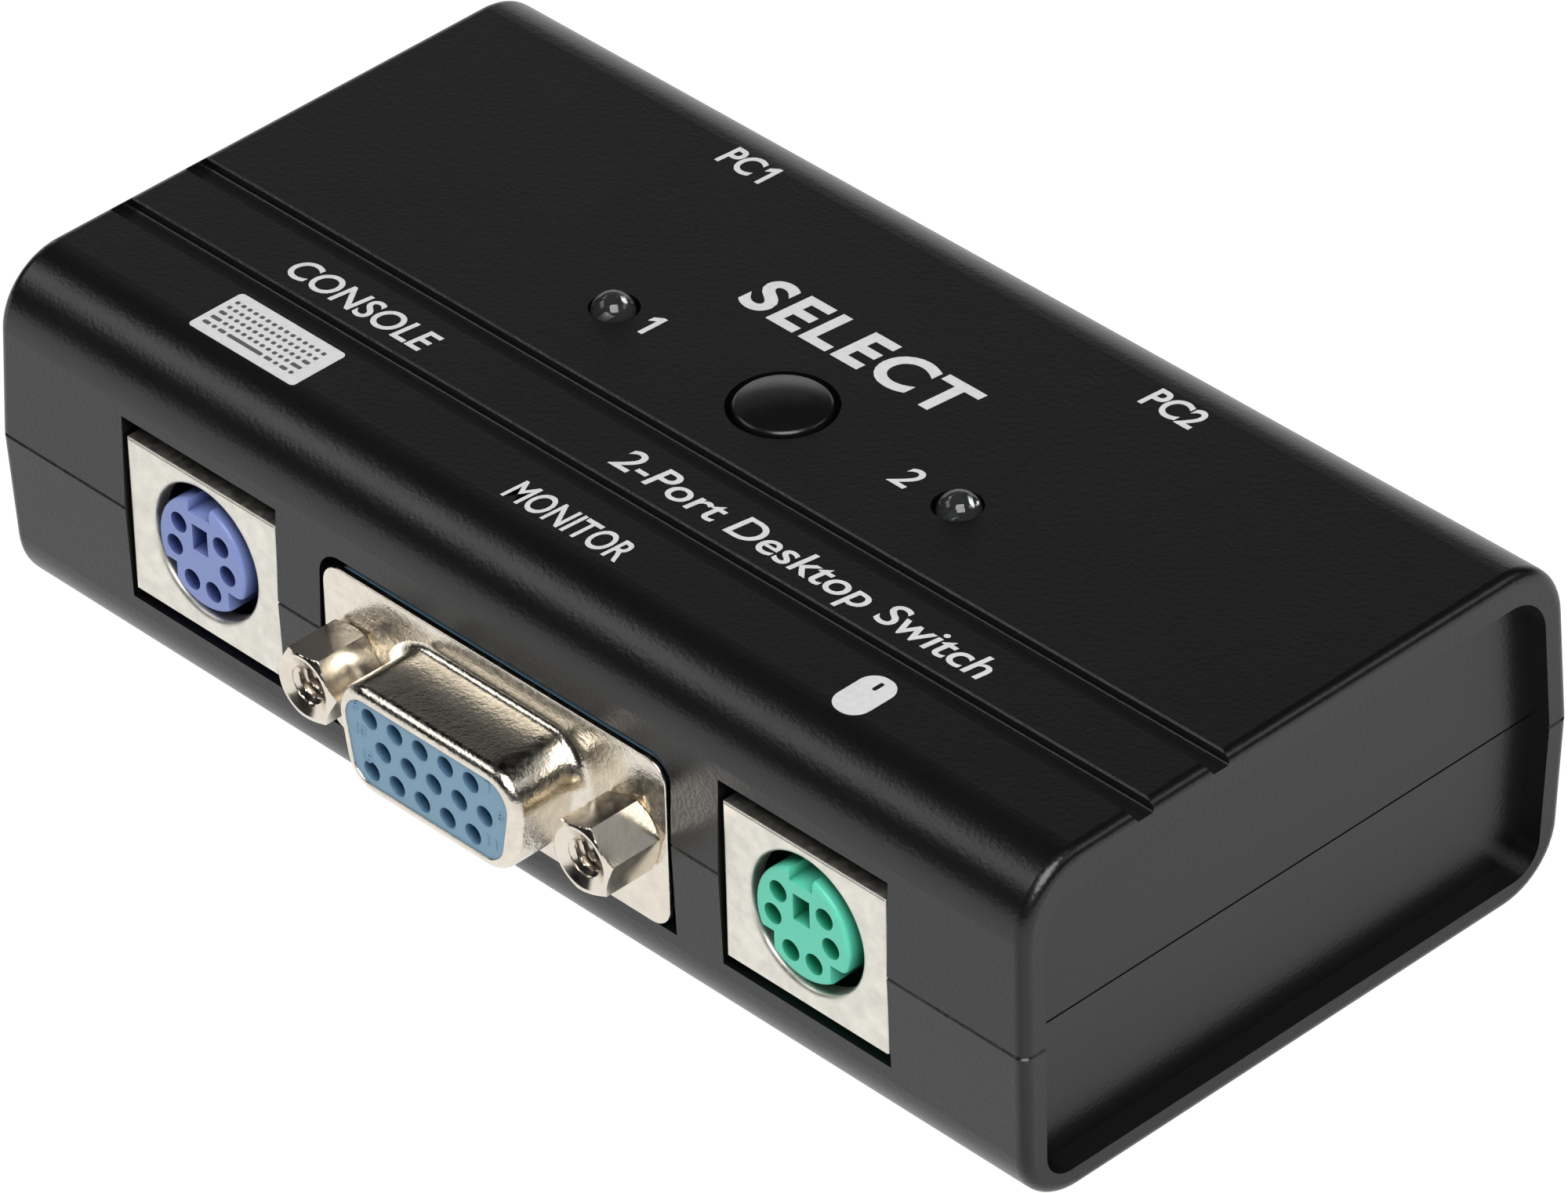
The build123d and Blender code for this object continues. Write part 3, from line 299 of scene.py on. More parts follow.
def screwlock_nickel():
    """Nickel on turned brass: fine rings from the lathe and a few dents."""
    finish = Finish("screwlock_nickel_turned", (0.76, 0.70, 0.61), 0.18, metal=1.0).mottle(1.5, 0.04)
    finish.uneven(0.8, 0.15, 0.23, 3.0)
    lathe = finish.noise(0.10, 1.0, finish.stretched((0.15, 1.0, 0.15)))
    finish.bump(lathe, 0.0015)
    return finish.bump(finish.noise(0.25, 2.0), 0.004).material


def tin_plate():
    """Hot-dipped tin plate: pale satin skin with specks, pits and faint streaks."""
    finish = Finish("socket_tin_plate", (0.77, 0.745, 0.675), 0.42, metal=1.0).mottle(1.1, 0.09, 6.0)
    finish.uneven(0.5, 0.36, 0.50, 5.0)
    finish.bump(finish.noise(0.55, 4.0), 0.012)
    pits = finish.remap(finish.cells(1.35), 0.0, 0.14, 0.0, 1.0)
    finish.bump(pits, 0.020)
    return finish.bump(finish.noise(0.12, 2.0, finish.stretched((1.0, 1.0, 0.12))), 0.002).material


def port_blue():
    """Satin blue moulding, with shade painted into its holes and hollows."""
    finish = Finish("port_blue_plastic", shade("799db5"), 0.42).paint_hollow_shade(2.0, 0.80).uneven(1.0, 0.38, 0.46)
    return finish.bump(finish.noise(0.30, 3.0), 0.005).material


def socket_plastic(name, colour):
    """Coloured moulding of a round socket, slightly translucent, with shade painted into its hollows."""
    finish = Finish(name, colour, 0.40).paint_hollow_shade(2.0, 0.50).uneven(0.8, 0.36, 0.46)
    finish.set("Subsurface Weight", 0.3)
    finish.set("Subsurface Radius", (0.8 * MM, 0.8 * MM, 0.8 * MM))
    return finish.bump(finish.noise(0.30, 3.0), 0.004).material


def solder_mask():
    """Green board: glossy mask over copper tracks and a glass weave."""
    finish = Finish("board_green_mask", (0.015, 0.11, 0.045), 0.32).uneven(1.5, 0.25, 0.40)
    tracks = finish.remap(finish.cells(2.2, "DISTANCE_TO_EDGE"), 0.05, 0.09, 0.0, 1.0)
    finish.set("Base Color", finish.blend(tracks, (0.03, 0.20, 0.085), (0.012, 0.09, 0.038)))
    finish.bump(tracks, -0.03)
    return finish.bump(finish.noise(0.45, 1.0, finish.stretched((1.0, 0.2, 1.0))), 0.006).material


def rubber():
    """Soft black rubber, dusty on its lumps."""
    finish = Finish("foot_black_rubber", (0.022, 0.022, 0.021), 0.78).mottle(0.7, 0.35, 5.0)
    finish.uneven(0.6, 0.70, 0.88)
    return finish.bump(finish.noise(0.25, 4.0), 0.03).material


def clear_epoxy():
    """Clear moulded resin, a little milky, with a faint skin ripple."""
    finish = Finish("lamp_clear_epoxy", (0.70, 0.72, 0.73), 0.04, ior=1.52).uneven(0.6, 0.03, 0.07)
    finish.set("Transmission Weight", 0.97)
    return finish.bump(finish.noise(0.9, 1.0), 0.002).material


def ceramic():
    """Fired tan ceramic, speckled, with silvered ends hidden under solder."""
    finish = Finish("capacitor_tan_ceramic", (0.42, 0.31, 0.20), 0.5).mottle(0.25, 0.20, 5.0)
    return finish.bump(finish.noise(0.12, 3.0), 0.006).material


def ink(name, colour):
    """Screen-printed ink, a little thin in places."""
    finish = Finish(name, colour, 0.55).mottle(0.5, 0.05, 4.0)
    finish.uneven(0.4, 0.48, 0.62)
    return finish.bump(finish.noise(0.16, 3.0), 0.004).material


def make_finishes():
    """Every material, by the record's slot name."""
    black = (0.012, 0.012, 0.0125)
    return {
        "black_shell_plastic": case_plastic(),
        "black_gloss_plastic": gloss_plastic(),
        "screw_steel": plated("screw_zinc_steel", (0.60, 0.61, 0.63), 0.26, 0.42),
        "foot_rubber": rubber(),
        "board_laminate": solder_mask(),
        "black_part_plastic": moulded("part_black_epoxy", black, 0.55, 0.20, 0.010),
        "switch_tin": plated("switch_tin_cover", (0.72, 0.72, 0.71), 0.28, 0.42),
        "plunger_plastic": moulded("plunger_black_plastic", black, 0.42),
        "spring_steel": plated("dome_spring_steel", (0.60, 0.60, 0.58), 0.18, 0.30),
        "lead_tin": plated("lead_bright_tin", (0.78, 0.78, 0.77), 0.22, 0.40, 0.2),
        "crystal_steel": plated("crystal_can_steel", (0.70, 0.70, 0.70), 0.22, 0.34),
        "capacitor_sleeve": moulded("capacitor_dark_sleeve", (0.015, 0.015, 0.03), 0.28, 0.8, 0.004),
        "ceramic_body": ceramic(),
        "resistor_body": moulded("resistor_black_glaze", (0.02, 0.02, 0.024), 0.35, 0.3),
        "clear_epoxy": clear_epoxy(),
        "spacer_plastic": moulded("spacer_black_nylon", black, 0.5),
        "socket_tin": tin_plate(),
        "ring_chrome": plated("ring_bright_chrome", (0.78, 0.78, 0.77), 0.10, 0.18, 0.5, 0.002),
        "keyboard_purple": socket_plastic("socket_purple_plastic", shade("8393cb")),
        "mouse_green": socket_plastic("socket_green_plastic", shade("62d5b7")),
        "contact_gold": plated("contact_gold_flash", (0.83, 0.63, 0.30), 0.18, 0.30),
        "port_nickel": nickel(),
        "port_blue": port_blue(),
        "screwlock_nickel": screwlock_nickel(),
        "lock_steel": plated("lock_tinned_steel", (0.66, 0.65, 0.62), 0.28, 0.42),
        "ink": ink("print_white_ink", (0.70, 0.70, 0.695)),
        "key_ink": ink("print_key_grey_ink", (0.10, 0.10, 0.10)),
    }


FINISHES = make_finishes()


def dress_nodes():
    """Gives each CAD node the material of its own slot."""
    for node in frame["nodes"].values():
        slot = node.data.materials[0].name
        node.data.materials[0] = FINISHES[slot]


# Mesh helpers ----------------------------------------------------------------------------------

def add_piece(name, mesh, slot, finish=None, body="housing", crease=32.0):
    """Turns a bmesh into a piece that rides on a body, smooth apart from creases over this many degrees."""
    bmesh.ops.remove_doubles(mesh, verts=mesh.verts, dist=1e-7)
    bmesh.ops.recalc_face_normals(mesh, faces=mesh.faces)
    data = bpy.data.meshes.new(name)
    mesh.to_mesh(data)
    mesh.free()
    data.shade_smooth()
    data.set_sharp_from_angle(angle=math.radians(crease))
    data.materials.append(FINISHES[finish or slot])
    piece = bpy.data.objects.new(name, data)
    bpy.context.scene.collection.objects.link(piece)
    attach(piece, body)
    return piece


def skin(mesh, rings, loop=False, cap_start=False, cap_end=False):
    """Adds faces through rings of equally many points; loop joins the last ring to the first."""
    rows = [[mesh.verts.new(point) for point in ring] for ring in rings]
    pairs = list(zip(rows, rows[1:]))
    if loop:
        pairs.append((rows[-1], rows[0]))
    for low, high in pairs:
        for k in range(len(low)):
            n = (k + 1) % len(low)
            mesh.faces.new((low[k], low[n], high[n], high[k]))
    if cap_start:
        mesh.faces.new(rows[0])
    if cap_end:
        mesh.faces.new(rows[-1])
    return mesh


def smooth_step(t):
    """0 to 1 with level ends."""
    t = min(max(t, 0.0), 1.0)
    return t * t * (3 - 2 * t)


def rounded_outline(corners, arc_steps=10, edge_steps=10):
    """Points with outward normals round four corners, each a centre, a radius and two angles in degrees."""
    points = []
    for index, (x, z, radius, first, last) in enumerate(corners):
        for step in range(arc_steps + 1):
            angle = math.radians(first + (last - first) * step / arc_steps)
            normal = Vector((math.cos(angle), math.sin(angle)))
            points.append((Vector((x, z)) + normal * radius, normal))
        nx, nz, next_radius, next_first, _ = corners[(index + 1) % len(corners)]
        start, normal = points[-1]
        end = Vector((nx, nz)) + normal * next_radius
        for step in range(1, edge_steps):
            points.append((start.lerp(end, step / edge_steps), normal))
    return points


def d_outline(width, height, radius):
    """A D outline, wide side up."""
    angle = math.radians(D_ANGLE)
    top = width / 2 - radius
    bottom = (width / 2 + radius * (math.tan(angle) + 1 / math.cos(angle) - 1) - height * math.tan(angle)
              - radius * (1 - math.sin(angle)) / math.cos(angle))
    high = height / 2 - radius
    return rounded_outline([(top, high, radius, -D_ANGLE, 90), (-top, high, radius, 90, 180 + D_ANGLE),
                            (-bottom, -high, radius, 180 + D_ANGLE, 270),
                            (bottom, -high, radius, 270, 360 - D_ANGLE)])


def rectangle_outline(width, height, radius):
    """A rounded rectangle with its points in step with those of a D outline."""
    x = width / 2 - radius
    z = height / 2 - radius
    return rounded_outline([(x, z, radius, 0, 90), (-x, z, radius, 90, 180),
                            (-x, -z, radius, 180, 270), (x, -z, radius, 270, 360)])


# D-shaped ports --------------------------------------------------------------------------------

def port_place(name):
    """A function from millimetres right, up and out of a port's flange to a point in the frame."""
    low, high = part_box(name + "_front_shell")
    out = PORTS[name]["out"]
    middle = (low + high) / 2
    face = high.y - SHEET * MM if out < 0 else low.y + SHEET * MM

    def place(right, up, outward):
        return Vector((middle.x - out * right * MM, face + out * outward * MM,
                       middle.z + (up + FLANGE_DROP) * MM))
    return place


def port_reach(name):
    """How far the collar stands out of the flange's front, in millimetres."""
    low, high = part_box(name + "_front_shell")
    return (high.y - low.y) / MM - SHEET


def collar_rings(collar, flange, reach, socket):
    """Rings of points right, up and out, once round the section of a stamped flange and its collar."""
    outline = d_outline(*collar)
    edge = FLANGE_EDGE

    def border(inset, depth):
        width, height = flange
        points = rectangle_outline(width - 2 * inset, height - 2 * inset, FLANGE_R - inset)
        return [(p.x, p.y - FLANGE_DROP, depth) for p, _ in points]

    def ring(offset, depth):
        points = []
        for p, normal in outline:
            side = abs(normal.x) ** 3
            root = ROOT_R[0] + (ROOT_R[1] - ROOT_R[0]) * side
            moved = p + normal * offset(root, side)
            points.append((moved.x, moved.y, depth(root, side)))
        return points

    rings = [border(0, -SHEET + edge), border(0, -edge), border(edge * 0.3, -edge * 0.3), border(edge, 0)]
    for share in (1.0, 0.75, 0.5, 0.25):
        rings.append(ring(lambda root, side: root + 0.3 + SWELL_RUN * side * share,
                          lambda root, side: ROOT_SWELL * side * smooth_step(1 - share)))
    for step in range(9):
        turn = math.radians(90 * step / 8)
        rings.append(ring(lambda root, side: root * (1 - math.sin(turn)),
                          lambda root, side: ROOT_SWELL * side + root * (1 - math.cos(turn))))
    nose = NOSE_R if socket else COLLAR_SHEET / 2
    for step in range(9):
        turn = math.radians(90 * step / 8)
        rings.append(ring(lambda root, side: -nose * (1 - math.cos(turn)),
                          lambda root, side: reach - nose * (1 - math.sin(turn))))
    if socket:
        rings.append(ring(lambda root, side: -NOSE_LIP - 0.06, lambda root, side: reach))
        rings.append(ring(lambda root, side: -NOSE_LIP - 0.10, lambda root, side: reach - 0.05))
        rings.append(ring(lambda root, side: -NOSE_LIP - 0.10, lambda root, side: reach - COLLAR_SHEET))
        rings.append(ring(lambda root, side: -COLLAR_SHEET, lambda root, side: reach - COLLAR_SHEET - 0.4))
    else:
        for step in range(1, 5):
            turn = math.radians(90 * step / 4)
            rings.append(ring(lambda root, side: -nose - nose * math.sin(turn),
                              lambda root, side: reach - nose * (1 - math.cos(turn))))
    rings.append(ring(lambda root, side: -COLLAR_SHEET, lambda root, side: 0.0))
    rings.append(ring(lambda root, side: -COLLAR_SHEET + 0.5, lambda root, side: -SHEET))
    rings.append(border(edge, -SHEET))
    return rings


def stamped_shell(name):
    """The flange and collar of a port in one stamped skin with soft bends."""
    place = port_place(name)
    low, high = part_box(name + "_front_shell")
    flange = ((high.x - low.x) / MM, (high.z - low.z) / MM)
    rings = collar_rings(PORTS[name]["collar"], flange, port_reach(name), PORTS[name]["socket"])
    mesh = skin(bmesh.new(), [[place(*point) for point in ring] for ring in rings], loop=True)
    piece = add_piece(name + "_stamped_shell", mesh, "port_nickel", crease=60)
    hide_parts(name + "_front_shell")


def lock_section(turn):
    """Rings of radius by angle and distance out, from a screwlock's stud round to its bore's floor."""
    step = 2 * math.pi / LOCK_SIDES
    corner = LOCK_FLATS / 2 / math.cos(math.pi / 6)

    def ring(radius, depth):
        return [(math.radians(turn) + k * step, radius(k * step), depth) for k in range(LOCK_SIDES)]

    def hexagon(limit):
        def radius(angle):
            from_flat = (angle + math.pi / 3) % (math.pi / 3) - math.pi / 6
            return min(LOCK_FLATS / 2 / math.cos(from_flat), limit)
        return radius

    def thread(depth):
        fade = smooth_step((LOCK_LENGTH - depth) / THREAD_FADE)
        mouth = LOCK_MOUTH_R - (LOCK_LENGTH - depth) * LOCK_MOUTH_SLOPE

        def radius(angle):
            phase = (depth / THREAD_PITCH + angle / (2 * math.pi)) % 1.0
            flank = min(abs(phase - 0.5) * THREAD_FLANK, 1.0)
            return max(THREAD_MINOR_R + (THREAD_MAJOR_R - THREAD_MINOR_R) * flank * fade, mouth)
        return radius

    low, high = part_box("monitor_port_screwlocks")
    stud = (high.y - low.y) / MM - LOCK_LENGTH
    rings = [ring(lambda a: CENTRE_R, -stud), ring(lambda a: STUD_R - STUD_BEVEL, -stud),
             ring(lambda a: STUD_R, -stud + STUD_BEVEL), ring(lambda a: STUD_R, LOCK_GAP)]
    rise = corner - LOCK_FACE_R
    shares = (0, 0.15, 0.3, 0.45, 0.6, 0.8, 1.0)
    for share in shares:
        rings.append(ring(hexagon(LOCK_FACE_R + rise * share), LOCK_GAP + rise * share * LOCK_CHAMFER))
    for share in reversed(shares):
        rings.append(ring(hexagon(LOCK_FACE_R + rise * share), LOCK_LENGTH - rise * share * LOCK_CHAMFER))
    rings.append(ring(lambda a: LOCK_MOUTH_R, LOCK_LENGTH))
    depth = LOCK_LENGTH - 0.16
    while depth > LOCK_LENGTH - THREAD_DEPTH:
        rings.append(ring(thread(depth), depth))
        depth -= THREAD_PITCH / 12
    rings.append(ring(lambda a: THREAD_MINOR_R * 0.9, depth - 0.2))
    rings.append(ring(lambda a: CENTRE_R, depth - 0.7))
    return rings


def screwlocks(name):
    """Both threaded screwlocks of a port."""
    place = port_place(name)
    mesh = bmesh.new()
    for side, turn in zip((-1, 1), PORTS[name]["turns"]):
        middle = side * LOCK_SPACING / 2
        rings = [[place(middle + r * math.cos(a), r * math.sin(a), d) for a, r, d in ring]
                 for ring in lock_section(turn)]
        skin(mesh, rings, cap_start=True, cap_end=True)
    piece = add_piece(name + "_threaded_screwlocks", mesh, "screwlock_nickel", crease=10)
    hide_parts(name + "_screwlocks")


def snap_dome():
    """The switch's snap dome, a thin domed cap under the plunger."""
    low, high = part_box("switch_dome")
    middle = (low + high) / 2
    radius = (high.x - low.x) / 2
    height = high.z - low.z
    shares = [0.01] + [k / 12 for k in range(1, 13)]
    profile = [(radius * share, low.z + (height - DOME_SHEET * MM) * (1 - share ** 2)) for share in shares]
    mesh = bmesh.new()
    rings = []
    for lift, places in ((DOME_SHEET * MM, reversed(profile)), (0.0, profile)):
        for r, z in places:
            rings.append([Vector((middle.x + r * math.cos(a), middle.y + r * math.sin(a), z + lift))
                          for a in (2 * math.pi * k / 48 for k in range(48))])
    skin(mesh, rings, loop=True)
    piece = add_piece("switch_snap_dome", mesh, "spring_steel")
    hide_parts("switch_dome")
    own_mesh(piece)


def pin_places():
    """Right and up of each of a port's fifteen holes."""
    places = []
    for row in range(3):
        offset = ROW_OFFSET if row == 1 else -ROW_OFFSET
        places += [(offset + (column - 2) * PIN_PITCH, (1 - row) * ROW_PITCH) for column in range(5)]
    return places


def hole_rims():
    """A small raised lip round each hole of the monitor port's face."""
    place = port_place("monitor_port")
    face = port_reach("monitor_port") - FACE_RECESS
    angles = [2 * math.pi * k / 40 for k in range(40)]
    mesh = bmesh.new()
    for right, up in pin_places():
        rings = []
        for radius, proud in HOLE_LIP:
            rings.append([place(right + radius * math.cos(a), up + radius * math.sin(a), face + proud)
                          for a in angles])
        skin(mesh, rings, loop=True)
    add_piece("monitor_port_hole_rims", mesh, "port_blue")


# Prints ----------------------------------------------------------------------------------------

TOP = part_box("top_shell")[1].z
ONE = ((0.45, 0.0), (0.77, 0.0), (0.86, 1.0), (0.62, 1.0), (0.14, 0.82), (0.11, 0.60), (0.52, 0.74))


def text_mesh(words, bold=0.0, slant=0.0, spacing=1.0):
    """A bmesh of words one unit thick, its reading direction along +X and its face towards +Z."""
    curve = bpy.data.curves.new("words", "FONT")
    curve.body = words
    curve.size = 1.0
    curve.extrude = 0.5
    curve.offset = bold
    curve.shear = slant
    curve.space_character = spacing
    curve.resolution_u = 6
    holder = bpy.data.objects.new("words", curve)
    bpy.context.scene.collection.objects.link(holder)
    bpy.context.view_layer.update()
    data = bpy.data.meshes.new_from_object(holder.evaluated_get(bpy.context.evaluated_depsgraph_get()))
    mesh = bmesh.new()
    mesh.from_mesh(data)
    bpy.data.objects.remove(holder)
    bpy.data.curves.remove(curve)
    bpy.data.meshes.remove(data)
    return mesh


def fit(mesh, place, size):
    """Scales words to a size and moves them, so that their box fills it; place maps x, y and depth shares."""
    low = Vector([min(v.co[i] for v in mesh.verts) for i in range(3)])
    high = Vector([max(v.co[i] for v in mesh.verts) for i in range(3)])
    for vert in mesh.verts:
        share = [(vert.co[i] - low[i]) / (high[i] - low[i]) for i in range(3)]
        vert.co = place(share[0] * size[0], share[1] * size[1], share[2])
    return mesh


def print_words(name, words, left, right, low, high, bold=0.0, slant=0.0, spacing=1.0):
    """Words printed on the top, filling a box given by its sides in millimetres."""
    def place(x, y, depth):
        level = depth * (INK_THICK + INK_SINK) - INK_SINK
        return Vector(((left + x) * MM, (low + y) * MM, TOP + level * MM))
    mesh = fit(text_mesh(words, bold, slant, spacing), place, (right - left, high - low))
    add_piece("print_" + name, mesh, "black_shell_plastic", finish="ink")


def flat_shape(mesh, points, low, high):
    """Adds a thin prism over an outline on the top; low and high are millimetres above the top."""
    rings = [[Vector((x * MM, y * MM, TOP + level * MM)) for x, y in points] for level in (low, high)]
    return skin(mesh, rings, cap_start=True, cap_end=True)


def pill(x, y, length, width, radius, turn=0.0, steps=6):
    """A rounded rectangle about a middle, its length along X before it is turned by these degrees."""
    points = []
    a, b = length / 2 - radius, width / 2 - radius
    for cx, cy, first in ((a, b, 0), (-a, b, 90), (-a, -b, 180), (a, -b, 270)):
        for step in range(steps + 1):
            angle = math.radians(first + 90 * step / steps)
            points.append(Vector((cx + radius * math.cos(angle), cy + radius * math.sin(angle))))
    turned = Matrix.Rotation(math.radians(turn), 2)
    return [(x + p.x, y + p.y) for p in (turned @ q for q in points)]


def print_one(name, left, right, low, high):
    """A figure 1 with a flag, printed in a box given by its sides in millimetres."""
    mesh = bmesh.new()
    points = [(left + (right - left) * x, low + (high - low) * y) for x, y in ONE]
    flat_shape(mesh, points, -INK_SINK, INK_THICK)
    add_piece("print_" + name, mesh, "black_shell_plastic", finish="ink")


def print_keyboard():
    """A keyboard sign: a white plate with rows of dark keys."""
    middle = (-27.27, -16.90)
    size = (9.85, 4.65)
    pitch = 0.575
    key = 0.33
    plate = bmesh.new()
    flat_shape(plate, pill(*middle, *size, 0.35), -INK_SINK, INK_THICK)
    add_piece("print_keyboard_plate", plate, "black_shell_plastic", finish="ink")
    keys = bmesh.new()
    left = middle[0] - size[0] / 2 + 0.65
    top = middle[1] + size[1] / 2 - 0.95
    rows = ((1, 1, 1, 1, 1, 1, 1, 1, 1, 1, 1, 1, 1, 1, 1), (1,) * 15, (1.5,) + (1,) * 12 + (1.5,),
            (2,) + (1,) * 11 + (2,), (1.5, 1, 1.5, 6, 1.5, 1, 1.5, 1))
    for row, widths in enumerate(rows):
        x = left - key / 2
        for width in widths:
            span = (width - 1) * pitch + key
            flat_shape(keys, pill(x + span / 2, top - row * pitch * 1.2, span, key, 0.1, steps=2),
                       0.0, INK_THICK + KEY_PROUD)
            x += width * pitch
    add_piece("print_keyboard_keys", keys, "black_shell_plastic", finish="key_ink")


def print_mouse():
    """A mouse sign: a white body with a dark wheel."""
    middle = (26.1, -16.9)
    body = bmesh.new()
    flat_shape(body, pill(*middle, 4.3, 2.7, 1.25, 90, 12), -INK_SINK, INK_THICK)
    add_piece("print_mouse_body", body, "black_shell_plastic", finish="ink")
    wheel = bmesh.new()
    flat_shape(wheel, pill(middle[0], middle[1] + 1.15, 0.9, 0.32, 0.15, 90, 5), 0.0, INK_THICK + KEY_PROUD)
    add_piece("print_mouse_wheel", wheel, "black_shell_plastic")


def prints():
    """All the generic words and signs on the top."""
    print_one("one", -11.7, -10.5, -0.2, 2.0)
    print_words("two", "2", 11.3, 12.9, -0.5, 1.7, 0.01, 0.2)
    print_words("computer_one", "PC", -21.6, -18.6, 16.5, 18.7, 0.02, 0.1)
    print_one("computer_one_figure", -18.4, -17.3, 16.5, 18.7)
    print_words("computer_two", "PC2", 16.6, 21.0, 16.1, 18.3, 0.02, 0.1)
    print_words("select", "SELECT", -9.3, 9.5, 6.4, 10.2, 0.03, 0.1, 1.12)
    print_words("console", "CONSOLE", -32.1, -19.3, -11.3, -9.1, 0.015, 0.15)
    print_words("title", "2-Port Desktop Switch", -2.3, 29.9, -11.9, -8.9, 0.01, 0.15)
    print_words("monitor", "MONITOR", -4.6, 5.6, -18.1, -15.9, 0.015, 0.1)
    print_keyboard()
    print_mouse()


def face_digits():
    """Tiny raised pin numbers at the ends of the monitor port's face."""
    place_port = port_place("monitor_port")
    face = port_reach("monitor_port") - FACE_RECESS
    mesh = bmesh.new()
    for words, right, up in (("5", -6.6, 2.1), ("10", -6.4, 0.35), ("15", -5.9, -1.4),
                             ("1", 5.3, 2.1), ("6", 6.4, 0.4), ("11", 5.3, -2.1)):
        wide = 0.42 * len(words)

        def place(x, y, depth, right=right, up=up):
            return place_port(right + x, up + y, face - 0.05 + 0.12 * depth)
        digits = fit(text_mesh(words), place, (wide, 0.75))
        holder = bpy.data.meshes.new("digits")
        digits.to_mesh(holder)
        digits.free()
        mesh.from_mesh(holder)
        bpy.data.meshes.remove(holder)
    add_piece("monitor_port_digits", mesh, "port_blue")


# Stage -----------------------------------------------------------------------------------------

def floor_material():
    """White paper that glows evenly to the camera; reflections see it dimmer beside the right end, where a
    shadow is painted into its glow.
    """
    material = bpy.data.materials.new("floor_white")
    material.use_nodes = True
    tree = material.node_tree
    nodes, links = tree.nodes, tree.links
    shader = nodes["Principled BSDF"]
    shader.inputs["Base Color"].default_value = (0.10, 0.10, 0.10, 1.0)
    shader.inputs["Roughness"].default_value = 0.9
    shader.inputs["Specular IOR Level"].default_value = 0.0
    shader.inputs["Emission Color"].default_value = (1.0, 1.0, 1.0, 1.0)
    split = nodes.new("ShaderNodeSeparateXYZ")
    links.new(nodes.new("ShaderNodeTexCoord").outputs["Object"], split.inputs["Vector"])
    # painted shadow: the glow drops from FLOOR_GLOW to SHADE_GLOW just before the span and climbs back across
    # it
    painted_shadow_edge = (SHADE_SPAN[0] - SHADE_EDGE, SHADE_SPAN[0], FLOOR_GLOW, SHADE_GLOW)
    glow = nodes.new("ShaderNodeMath")
    glow.operation = "MAXIMUM"
    links.new(map_range(tree, split.outputs["X"], painted_shadow_edge), glow.inputs[0])
    links.new(map_range(tree, split.outputs["X"], (*SHADE_SPAN, SHADE_GLOW, FLOOR_GLOW)), glow.inputs[1])
    links.new(white_to_camera(tree, glow.outputs["Value"]), shader.inputs["Emission Strength"])
    clear = nodes.new("ShaderNodeBsdfTransparent")
    back = nodes.new("ShaderNodeNewGeometry").outputs["Backfacing"]
    mix = nodes.new("ShaderNodeMixShader")
    links.new(back, mix.inputs["Fac"])
    links.new(shader.outputs["BSDF"], mix.inputs[1])
    links.new(clear.outputs["BSDF"], mix.inputs[2])
    links.new(mix.outputs["Shader"], nodes["Material Output"].inputs["Surface"])
    return material


def floor():
    """A large white floor, seen through from below."""
    mesh = bmesh.new()
    bmesh.ops.create_grid(mesh, x_segments=1, y_segments=1, size=4.0)
    data = bpy.data.meshes.new("floor")
    mesh.to_mesh(data)
    mesh.free()
    plane = bpy.data.objects.new("floor", data)
    bpy.context.scene.collection.objects.link(plane)
    data.materials.append(floor_material())


def softbox(name, place, size, radiance):
    """A square light that faces the object; radiance is per unit area and direction."""
    light = bpy.data.lights.new(name, "AREA")
    light.shape = "RECTANGLE"
    light.size, light.size_y = size
    light.energy = radiance * math.pi * size[0] * size[1]
    holder = bpy.data.objects.new(name, light)
    holder.location = place
    holder.rotation_euler = (-Vector(place)).to_track_quat("-Z", "Y").to_euler()
    bpy.context.scene.collection.objects.link(holder)


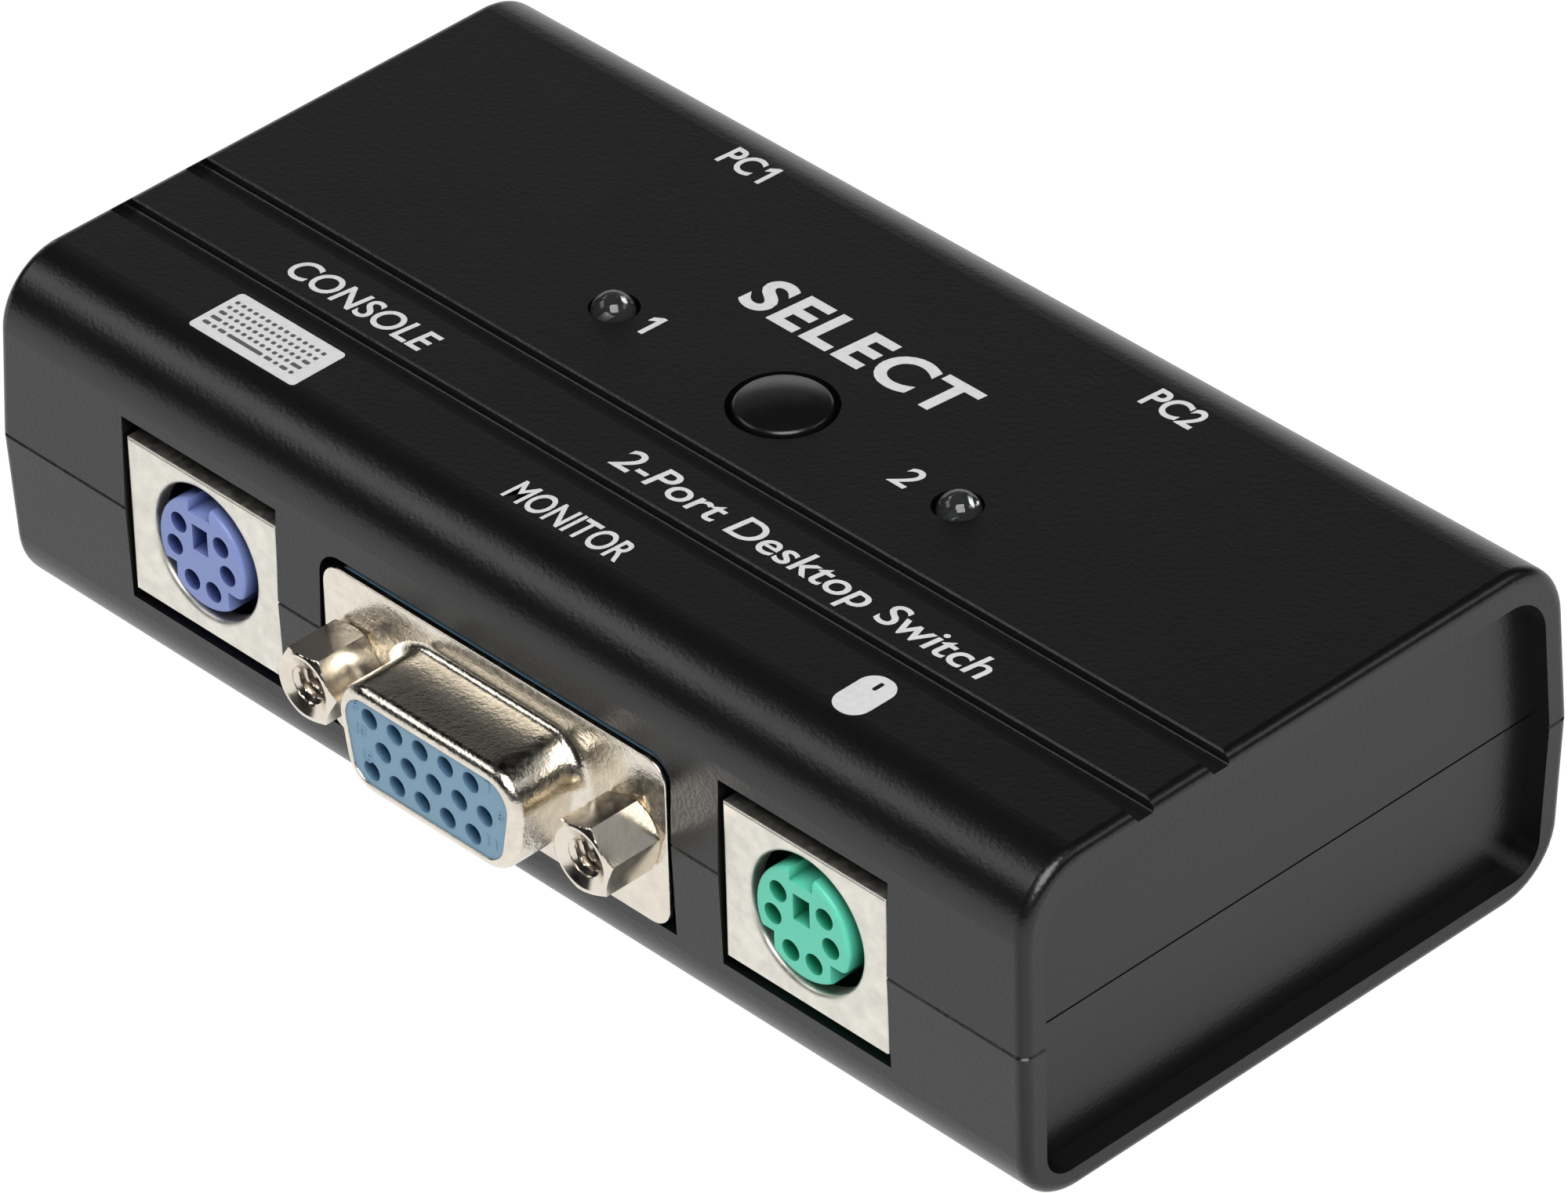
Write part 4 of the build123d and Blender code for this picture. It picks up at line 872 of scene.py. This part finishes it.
def world():
    """A dim studio, darker overhead, that the camera alone sees as white."""
    scene_world = bpy.data.worlds.new("studio")
    bpy.context.scene.world = scene_world
    scene_world.use_nodes = True
    tree = scene_world.node_tree
    split = tree.nodes.new("ShaderNodeSeparateXYZ")
    tree.links.new(tree.nodes.new("ShaderNodeTexCoord").outputs["Generated"], split.inputs["Vector"])
    dim = map_range(tree, split.outputs["Z"], (0.60, 0.80, *STUDIO_LEVELS))
    tree.links.new(white_to_camera(tree, dim), tree.nodes["Background"].inputs["Strength"])


def lights():
    """A key light above the camera, a low backdrop behind, and dim boxes that draw the rounded edges."""
    softbox("key_box", (0.66, -0.45, 1.16), (1.00, 1.00), 7.2)
    softbox("front_left_box", (-0.77, -0.60, 0.87), (0.80, 0.40), 2.2)
    softbox("backdrop", (-1.15, 1.08, 0.30), (2.20, 0.55), 0.9)
    softbox("back_left_box", (-0.90, 0.66, 0.78), (0.90, 0.45), 0.16)
    softbox("back_right_box", (0.80, 0.75, 0.80), (0.70, 0.40), 1.6)


def camera():
    """A long lens from the right, in front and above."""
    a, e, roll = (math.radians(v) for v in (AZIMUTH, ELEVATION, ROLL))
    back = Vector((math.sin(a) * math.cos(e), -math.cos(a) * math.cos(e), math.sin(e)))
    right = Vector((math.cos(a), math.sin(a), 0))
    up = back.cross(right)
    turned_right = right * math.cos(roll) + up * math.sin(roll)
    turned_up = up * math.cos(roll) - right * math.sin(roll)
    data = bpy.data.cameras.new("camera")
    data.sensor_width = 36.0
    data.lens = LENS
    data.shift_x, data.shift_y = SHIFT
    data.clip_start = 0.05
    data.clip_end = 20.0
    eye = bpy.data.objects.new("camera", data)
    eye.matrix_world = Matrix.Translation((Vector(AIM) + back * DISTANCE) * MM) @ Matrix(
        (turned_right, turned_up, back)).transposed().to_4x4()
    bpy.context.scene.collection.objects.link(eye)
    bpy.context.scene.camera = eye


# Build -----------------------------------------------------------------------------------------

dress_nodes()
for port in PORTS:
    stamped_shell(port)
    screwlocks(port)
snap_dome()
hole_rims()
face_digits()
prints()
floor()
world()
lights()
camera()
bpy.context.scene.view_settings.view_transform = "Standard"
bpy.context.scene.cycles.caustics_reflective = False
